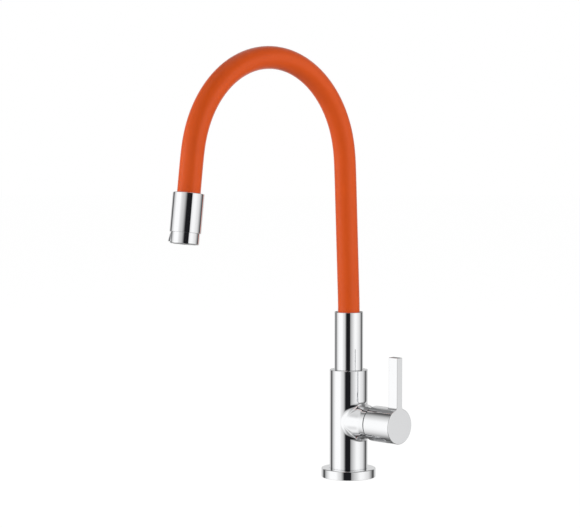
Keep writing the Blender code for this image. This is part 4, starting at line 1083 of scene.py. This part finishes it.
def build_tab():
    """The tab that the ring is turned by."""
    form = bmesh.new()
    root = (MODE_RING_BORE + MODE_RING_RADIUS) / 2
    start = HEAD_LENGTH + TAB_START_INSET
    end = MODE_RING_END - TAB_END_INSET
    outline = [(root, start), (MODE_RING_RADIUS - TAB_START_SINK, start), (TAB_REACH, end), (root, end)]
    add_block(form, *[[(reach, side, height) for reach, height in outline]
                      for side in (-TAB_HALF, TAB_HALF)])
    bmesh.ops.recalc_face_normals(form, faces=form.faces)
    round_edges(form, TAB_EDGE, TAB_EDGE_STEPS)
    bmesh.ops.rotate(form, verts=form.verts, cent=(0, 0, 0),
                     matrix=Matrix.Rotation(math.radians(TAB_ANGLE), 3, "Z"))
    tab = finish_form("mode_tab", form, "mode", "chrome", HEAD_TILTED)
    tab.data.shade_smooth()
    tab.data.set_sharp_from_angle(angle=math.radians(TAB_SHARP_ANGLE))


def build_spray_face():
    """The spray plate in the ring, with a raised nozzle round each jet."""
    root = PLATE_FACE - PLATE_DEPTH
    points = [(PLATE_BORE, root), (PLATE_RIM, root), (PLATE_RIM, PLATE_FACE, PLATE_EDGE),
              (PLATE_BORE, PLATE_FACE, PLATE_EDGE)]
    turned("spray_face", points, "mode", "grey_plastic", HEAD, ["spray_plate"])
    tip = PLATE_FACE + NUB_HEIGHT
    profile = section([(NUB_RADIUS, PLATE_FACE), (NUB_TIP_RADIUS, tip, NUB_EDGE),
                       (NUB_HOLE_RADIUS, tip, NUB_EDGE / 2), (NUB_HOLE_RADIUS, PLATE_FACE), (0, PLATE_FACE)],
                      closed=False)
    nubs = Skin()
    middle = (PLATE_BORE + PLATE_RIM) / 2
    for turn in turns(NUB_COUNT):
        first = len(nubs.places)
        turn_section(nubs, profile, NUB_SIDES)
        for place in nubs.places[first:]:
            place += middle * level_direction(turn)
    finish_skin("spray_nozzles", nubs, "mode", "grey_plastic", HEAD_TILTED)


def add_bar(form, turn, middle, run, half, low, high):
    """A straight bar across the head's axis, at a turn and a distance to one side."""
    spin = Matrix.Rotation(turn, 3, "Z")
    outline = [(-run, middle - half), (run, middle - half), (run, middle + half), (-run, middle + half)]
    add_block(form, *[[spin @ Vector((*corner, height)) for corner in outline] for height in (low, high)])


def build_aerator():
    """The aerator's cup, its crossed bars and the wire screen behind them."""
    root = CUP_FOOT - CUP_HEIGHT
    points = [(CUP_BORE, root), (CUP_RADIUS, root), (CUP_RADIUS, CUP_FOOT, CUP_EDGE),
              (CUP_BORE, CUP_FOOT, CUP_EDGE)]
    turned("aerator_cup", points, "mode", "white_plastic", HEAD, ["aerator"])
    bars = bmesh.new()
    face = CUP_FOOT - BAR_SETBACK
    run = (CUP_BORE + CUP_RADIUS) / 2
    for number in range(BAR_COUNT):
        add_bar(bars, math.pi * number / BAR_COUNT, 0, run, BAR_HALF, face - BAR_DEPTH, face)
    round_edges(bars, BAR_EDGE, BAR_EDGE_STEPS)
    finish_form("aerator_bars", bars, "mode", "white_plastic", HEAD_TILTED)
    wires = bmesh.new()
    high = CUP_FOOT - SCREEN_SETBACK
    furthest = int(WIRE_REACH / WIRE_SPACING)
    for number in range(-furthest, furthest + 1):
        middle = number * WIRE_SPACING
        run = math.sqrt(CUP_BORE ** 2 - middle ** 2)
        add_bar(wires, 0, middle, run, WIRE_HALF, high - 2 * WIRE_HALF, high)
        add_bar(wires, QUARTER, middle, run, WIRE_HALF, high - 3 * WIRE_HALF, high - WIRE_HALF)
    finish_form("aerator_wires", wires, "mode", "steel", HEAD_TILTED, ["aerator_screen"])


# Studio


# The camera, solved from the photograph's outlines
CAMERA_DISTANCE = 1.900
CAMERA_HEIGHT = 0.332
CAMERA_AZIMUTH = 42.9
CAMERA_YAW = 44.697
CAMERA_PITCH = 3.483
FOCAL_PIXELS = 1881
PHOTO_WIDTH = 580
SENSOR_WIDTH = 36
CLIP_END = 50

# Lightness of the surroundings that chrome shows: angles from the camera's side, in degrees
VIEW_AZIMUTH = CAMERA_AZIMUTH - 90
LEVEL_LIGHT = (
    (-180, 0.70), (-146, 0.66), (-138, 0.30), (-132, 0.08), (-122, 0.08), (-115, 0.46), (-104, 0.72),
    (-94, 0.90), (-85, 1.04), (-78, 1.05), (-54, 1.05), (-43, 0.82), (-30, 0.66), (-10, 0.58), (8, 0.28),
    (13, 0.36), (25, 0.61), (37, 0.80), (45, 0.94), (52, 1.02), (68, 0.98), (80, 0.86), (92, 0.79),
    (97, 0.72), (104, 0.56), (115, 0.30), (122, 0.10), (133, 0.08), (139, 0.35), (146, 0.66), (180, 0.70),
)
UPPER_LIGHT = (
    (-180, 0.62), (-170, 0.50), (-160, 0.20), (-150, 0.16), (-140, 0.12), (-128, 0.07), (-116, 0.14),
    (-108, 0.33), (-101, 0.56), (-92, 0.74), (-82, 0.72), (-65, 0.60), (-45, 0.50), (0, 0.50), (45, 0.26),
    (110, 0.18), (150, 0.24), (180, 0.62),
)
LOWER_LIGHT = (
    (-180, 0.09), (-154, 0.09), (-140, 0.11), (-128, 0.19), (-118, 0.34), (-108, 0.52), (-98, 0.76),
    (-88, 0.95), (-80, 0.80), (-68, 0.45), (-50, 0.30), (0, 0.30), (45, 0.12), (100, 0.09), (118, 0.30),
    (138, 0.46), (156, 0.36), (172, 0.12), (180, 0.09),
)
ZENITH_LIGHT = 0.74
FLOOR_LIGHT = 0.30
REAR_SHADE = 0.15
# Where one light gives way to the next, in degrees of rise
UPPER_FADE = (16, 36)
ZENITH_FADE = (55, 72)
LOWER_FADE = (-16, -36)
FLOOR_FADE = (-52, -64)
# The low shade behind the object: its start in degrees from the camera's side, its foot and its top
REAR_FADE = (150, 165)
REAR_FOOT_FADE = (0, 2)
REAR_TOP_FADE = (6.58, 6.42)
# Light on surfaces that aren't glossy, by degrees of rise
FILL_LIGHT = ((-90, 1.00), (0, 0.76), (30, 0.44), (90, 0.08))

FLOOR_RADIUS = 12
FLOOR_SIDES = 96
FLOOR_DROP = 0.0002
FLOOR_GREY = 0.85
FLOOR_GLOW = 1.19
FLOOR_GLOW_SHARE = 0.78

# The flag's left and right ends: distance, and azimuth in degrees, from the body
FLAG_ENDS = ((0.50, -79), (0.55, -34.5))
FLAG_HEIGHTS = (-1.5, 2.0)
FLAG_COLOUR = (0.012, 0.012, 0.014)
FLAG_COVER = ((0, 0), (0.12, 0.30), (0.26, 0.85), (0.29, 1), (0.92, 1), (1, 0))

# Each lamp's name, place, size and power
LAMP_TARGET = (0, -0.1, 0.25)
LAMPS = (("key", (-1.15, -1.6, 0.32), 1.1, 23), ("fill", (1.8, 0.3, 0.4), 1.2, 16))


def build_camera():
    """The photograph's camera."""
    camera = add_object("photo_camera", bpy.data.cameras.new("photo_camera"))
    azimuth = math.radians(CAMERA_AZIMUTH)
    camera.location = (CAMERA_DISTANCE * math.sin(azimuth), -CAMERA_DISTANCE * math.cos(azimuth),
                       CAMERA_HEIGHT)
    camera.rotation_euler = (QUARTER - math.radians(CAMERA_PITCH), 0, math.radians(CAMERA_YAW))
    camera.data.sensor_width = SENSOR_WIDTH
    camera.data.lens = SENSOR_WIDTH * FOCAL_PIXELS / PHOTO_WIDTH
    camera.data.clip_end = CLIP_END
    bpy.context.scene.camera = camera


def empty_tree(holder):
    """The emptied node tree of a material or a world."""
    holder.use_nodes = True
    holder.node_tree.nodes.clear()
    return holder.node_tree


def grey_ramp(tree, value, stops):
    """Look a value up in a ramp of greys, each stop a (position, lightness) pair."""
    node = add_node(tree, "ValToRGB", {"Fac": value})
    elements = node.color_ramp.elements
    while len(elements) < len(stops):
        elements.new(0.5)
    for element, (position, light) in zip(elements, stops):
        element.position = position
        element.color = (light, light, light, 1)
    return node.outputs["Color"]


def calculate(tree, operation, *values):
    """A sum or function of links and numbers."""
    return add_node(tree, "Math", dict(enumerate(values)), operation=operation).outputs[0]


def fade(tree, value, ends):
    """Zero on one side of a pair of values and one on the other, with an eased rise between them."""
    inputs = {"Value": value, "From Min": ends[0], "From Max": ends[1]}
    return add_node(tree, "MapRange", inputs, interpolation_type="SMOOTHSTEP").outputs["Result"]


def mix_light(tree, share, first, second):
    """The first value where the share is zero, the second where it is one."""
    return calculate(tree, "MULTIPLY_ADD", share, calculate(tree, "SUBTRACT", second, first), first)


def lookup(tree, value, stops):
    """Look an angle up in a table of (degrees, lightness) pairs that runs as far down as up."""
    limit = stops[-1][0]
    share = calculate(tree, "DIVIDE", calculate(tree, "ADD", value, limit), 2 * limit)
    return grey_ramp(tree, share, [((angle + limit) / (2 * limit), light) for angle, light in stops])


def build_world():
    """White for the camera; lightness that changes with direction for reflections; even fill."""
    world = bpy.data.worlds.new("studio")
    bpy.context.scene.world = world
    tree = empty_tree(world)
    where = add_node(tree, "TexCoord").outputs["Generated"]
    split = add_node(tree, "SeparateXYZ", {"Vector": where}).outputs
    azimuth = calculate(tree, "ARCTAN2", split["Y"], split["X"])
    relative = calculate(tree, "SUBTRACT", azimuth, math.radians(VIEW_AZIMUTH))
    around = calculate(tree, "DEGREES", calculate(tree, "WRAP", relative, math.pi, -math.pi))
    rise = calculate(tree, "DEGREES", calculate(tree, "ARCSINE", split["Z"]))
    level, upper, lower = [lookup(tree, around, stops) for stops in (LEVEL_LIGHT, UPPER_LIGHT, LOWER_LIGHT)]
    reflected = mix_light(tree, fade(tree, rise, UPPER_FADE), level, upper)
    reflected = mix_light(tree, fade(tree, rise, ZENITH_FADE), reflected, ZENITH_LIGHT)
    reflected = mix_light(tree, fade(tree, rise, LOWER_FADE), reflected, lower)
    reflected = mix_light(tree, fade(tree, rise, FLOOR_FADE), reflected, FLOOR_LIGHT)
    rear = fade(tree, calculate(tree, "ABSOLUTE", around), REAR_FADE)
    for ends in (REAR_FOOT_FADE, REAR_TOP_FADE):
        rear = calculate(tree, "MULTIPLY", rear, fade(tree, rise, ends))
    reflected = mix_light(tree, rear, reflected, REAR_SHADE)
    path = add_node(tree, "LightPath").outputs
    strength = mix_light(tree, path["Is Glossy Ray"], lookup(tree, rise, FILL_LIGHT), reflected)
    clear = calculate(tree, "MAXIMUM", path["Is Camera Ray"], path["Is Transmission Ray"])
    strength = calculate(tree, "MAXIMUM", strength, clear)
    background = add_node(tree, "Background", {"Color": (1, 1, 1, 1), "Strength": strength})
    add_node(tree, "OutputWorld", {"Surface": background.outputs["Background"]})


def mix_shaders(tree, share, first, second):
    """Send the material's surface a mix of two shaders."""
    mix = add_node(tree, "MixShader", {0: share, 1: first, 2: second})
    add_node(tree, "OutputMaterial", {"Surface": mix.outputs["Shader"]})


def build_floor():
    """A pale floor that is white to the camera and keeps the object's soft shadow."""
    bpy.ops.mesh.primitive_circle_add(vertices=FLOOR_SIDES, radius=FLOOR_RADIUS, fill_type="NGON",
                                      location=(0, 0, -FLOOR_DROP))
    floor = bpy.context.object
    floor.name = "floor"
    floor.visible_glossy = False
    material = bpy.data.materials.new("floor_paper")
    tree = empty_tree(material)
    paper = add_node(tree, "BsdfDiffuse", {"Color": (FLOOR_GREY, FLOOR_GREY, FLOOR_GREY, 1)})
    glow = add_node(tree, "Emission", {"Strength": FLOOR_GLOW})
    to_camera = add_node(tree, "LightPath").outputs["Is Camera Ray"]
    share = calculate(tree, "MULTIPLY", to_camera, FLOOR_GLOW_SHARE)
    mix_shaders(tree, share, paper.outputs["BSDF"], glow.outputs["Emission"])
    floor.data.materials.append(material)


def build_flag():
    """The black flag beside the camera that chrome shows as a dark band with soft edges."""
    mesh = bpy.data.meshes.new("black_flag")
    places = [place_at(distance, math.radians(azimuth), height)
              for height in FLAG_HEIGHTS for distance, azimuth in FLAG_ENDS]
    mesh.from_pydata([tuple(place) for place in places], [], [(0, 1, 3, 2)])
    flag = add_object("black_flag", mesh)
    material = bpy.data.materials.new("flag_cloth")
    tree = empty_tree(material)
    where = add_node(tree, "TexCoord").outputs["Generated"]
    along = add_node(tree, "SeparateXYZ", {"Vector": where}).outputs["X"]
    clear = add_node(tree, "BsdfTransparent").outputs["BSDF"]
    cloth = add_node(tree, "Emission", {"Color": (*FLAG_COLOUR, 1)}).outputs["Emission"]
    mix_shaders(tree, grey_ramp(tree, along, FLAG_COVER), clear, cloth)
    mesh.materials.append(material)
    for switch in ("camera", "diffuse", "transmission", "volume_scatter", "shadow"):
        setattr(flag, "visible_" + switch, False)


def build_lamps():
    """A large soft key at the camera's left and a weaker fill at its right, not shown in chrome."""
    for name, place, size, power in LAMPS:
        data = bpy.data.lights.new(name, "AREA")
        data.shape = "SQUARE"
        data.size = size
        data.energy = power
        lamp = add_object(name, data)
        lamp.location = place
        lamp.rotation_euler = (Vector(LAMP_TARGET) - Vector(place)).to_track_quat("-Z", "Y").to_euler()
        lamp.visible_glossy = False


paint_nodes()
build_flange()
build_body()
build_dome()
build_grub_screw()
build_lever()
build_screw_cap()
build_collar()
build_hose()
build_head()
build_mode_ring()
build_tab()
build_spray_face()
build_aerator()
build_camera()
build_world()
build_floor()
build_flag()
build_lamps()

bpy.context.scene.view_settings.view_transform = "Standard"
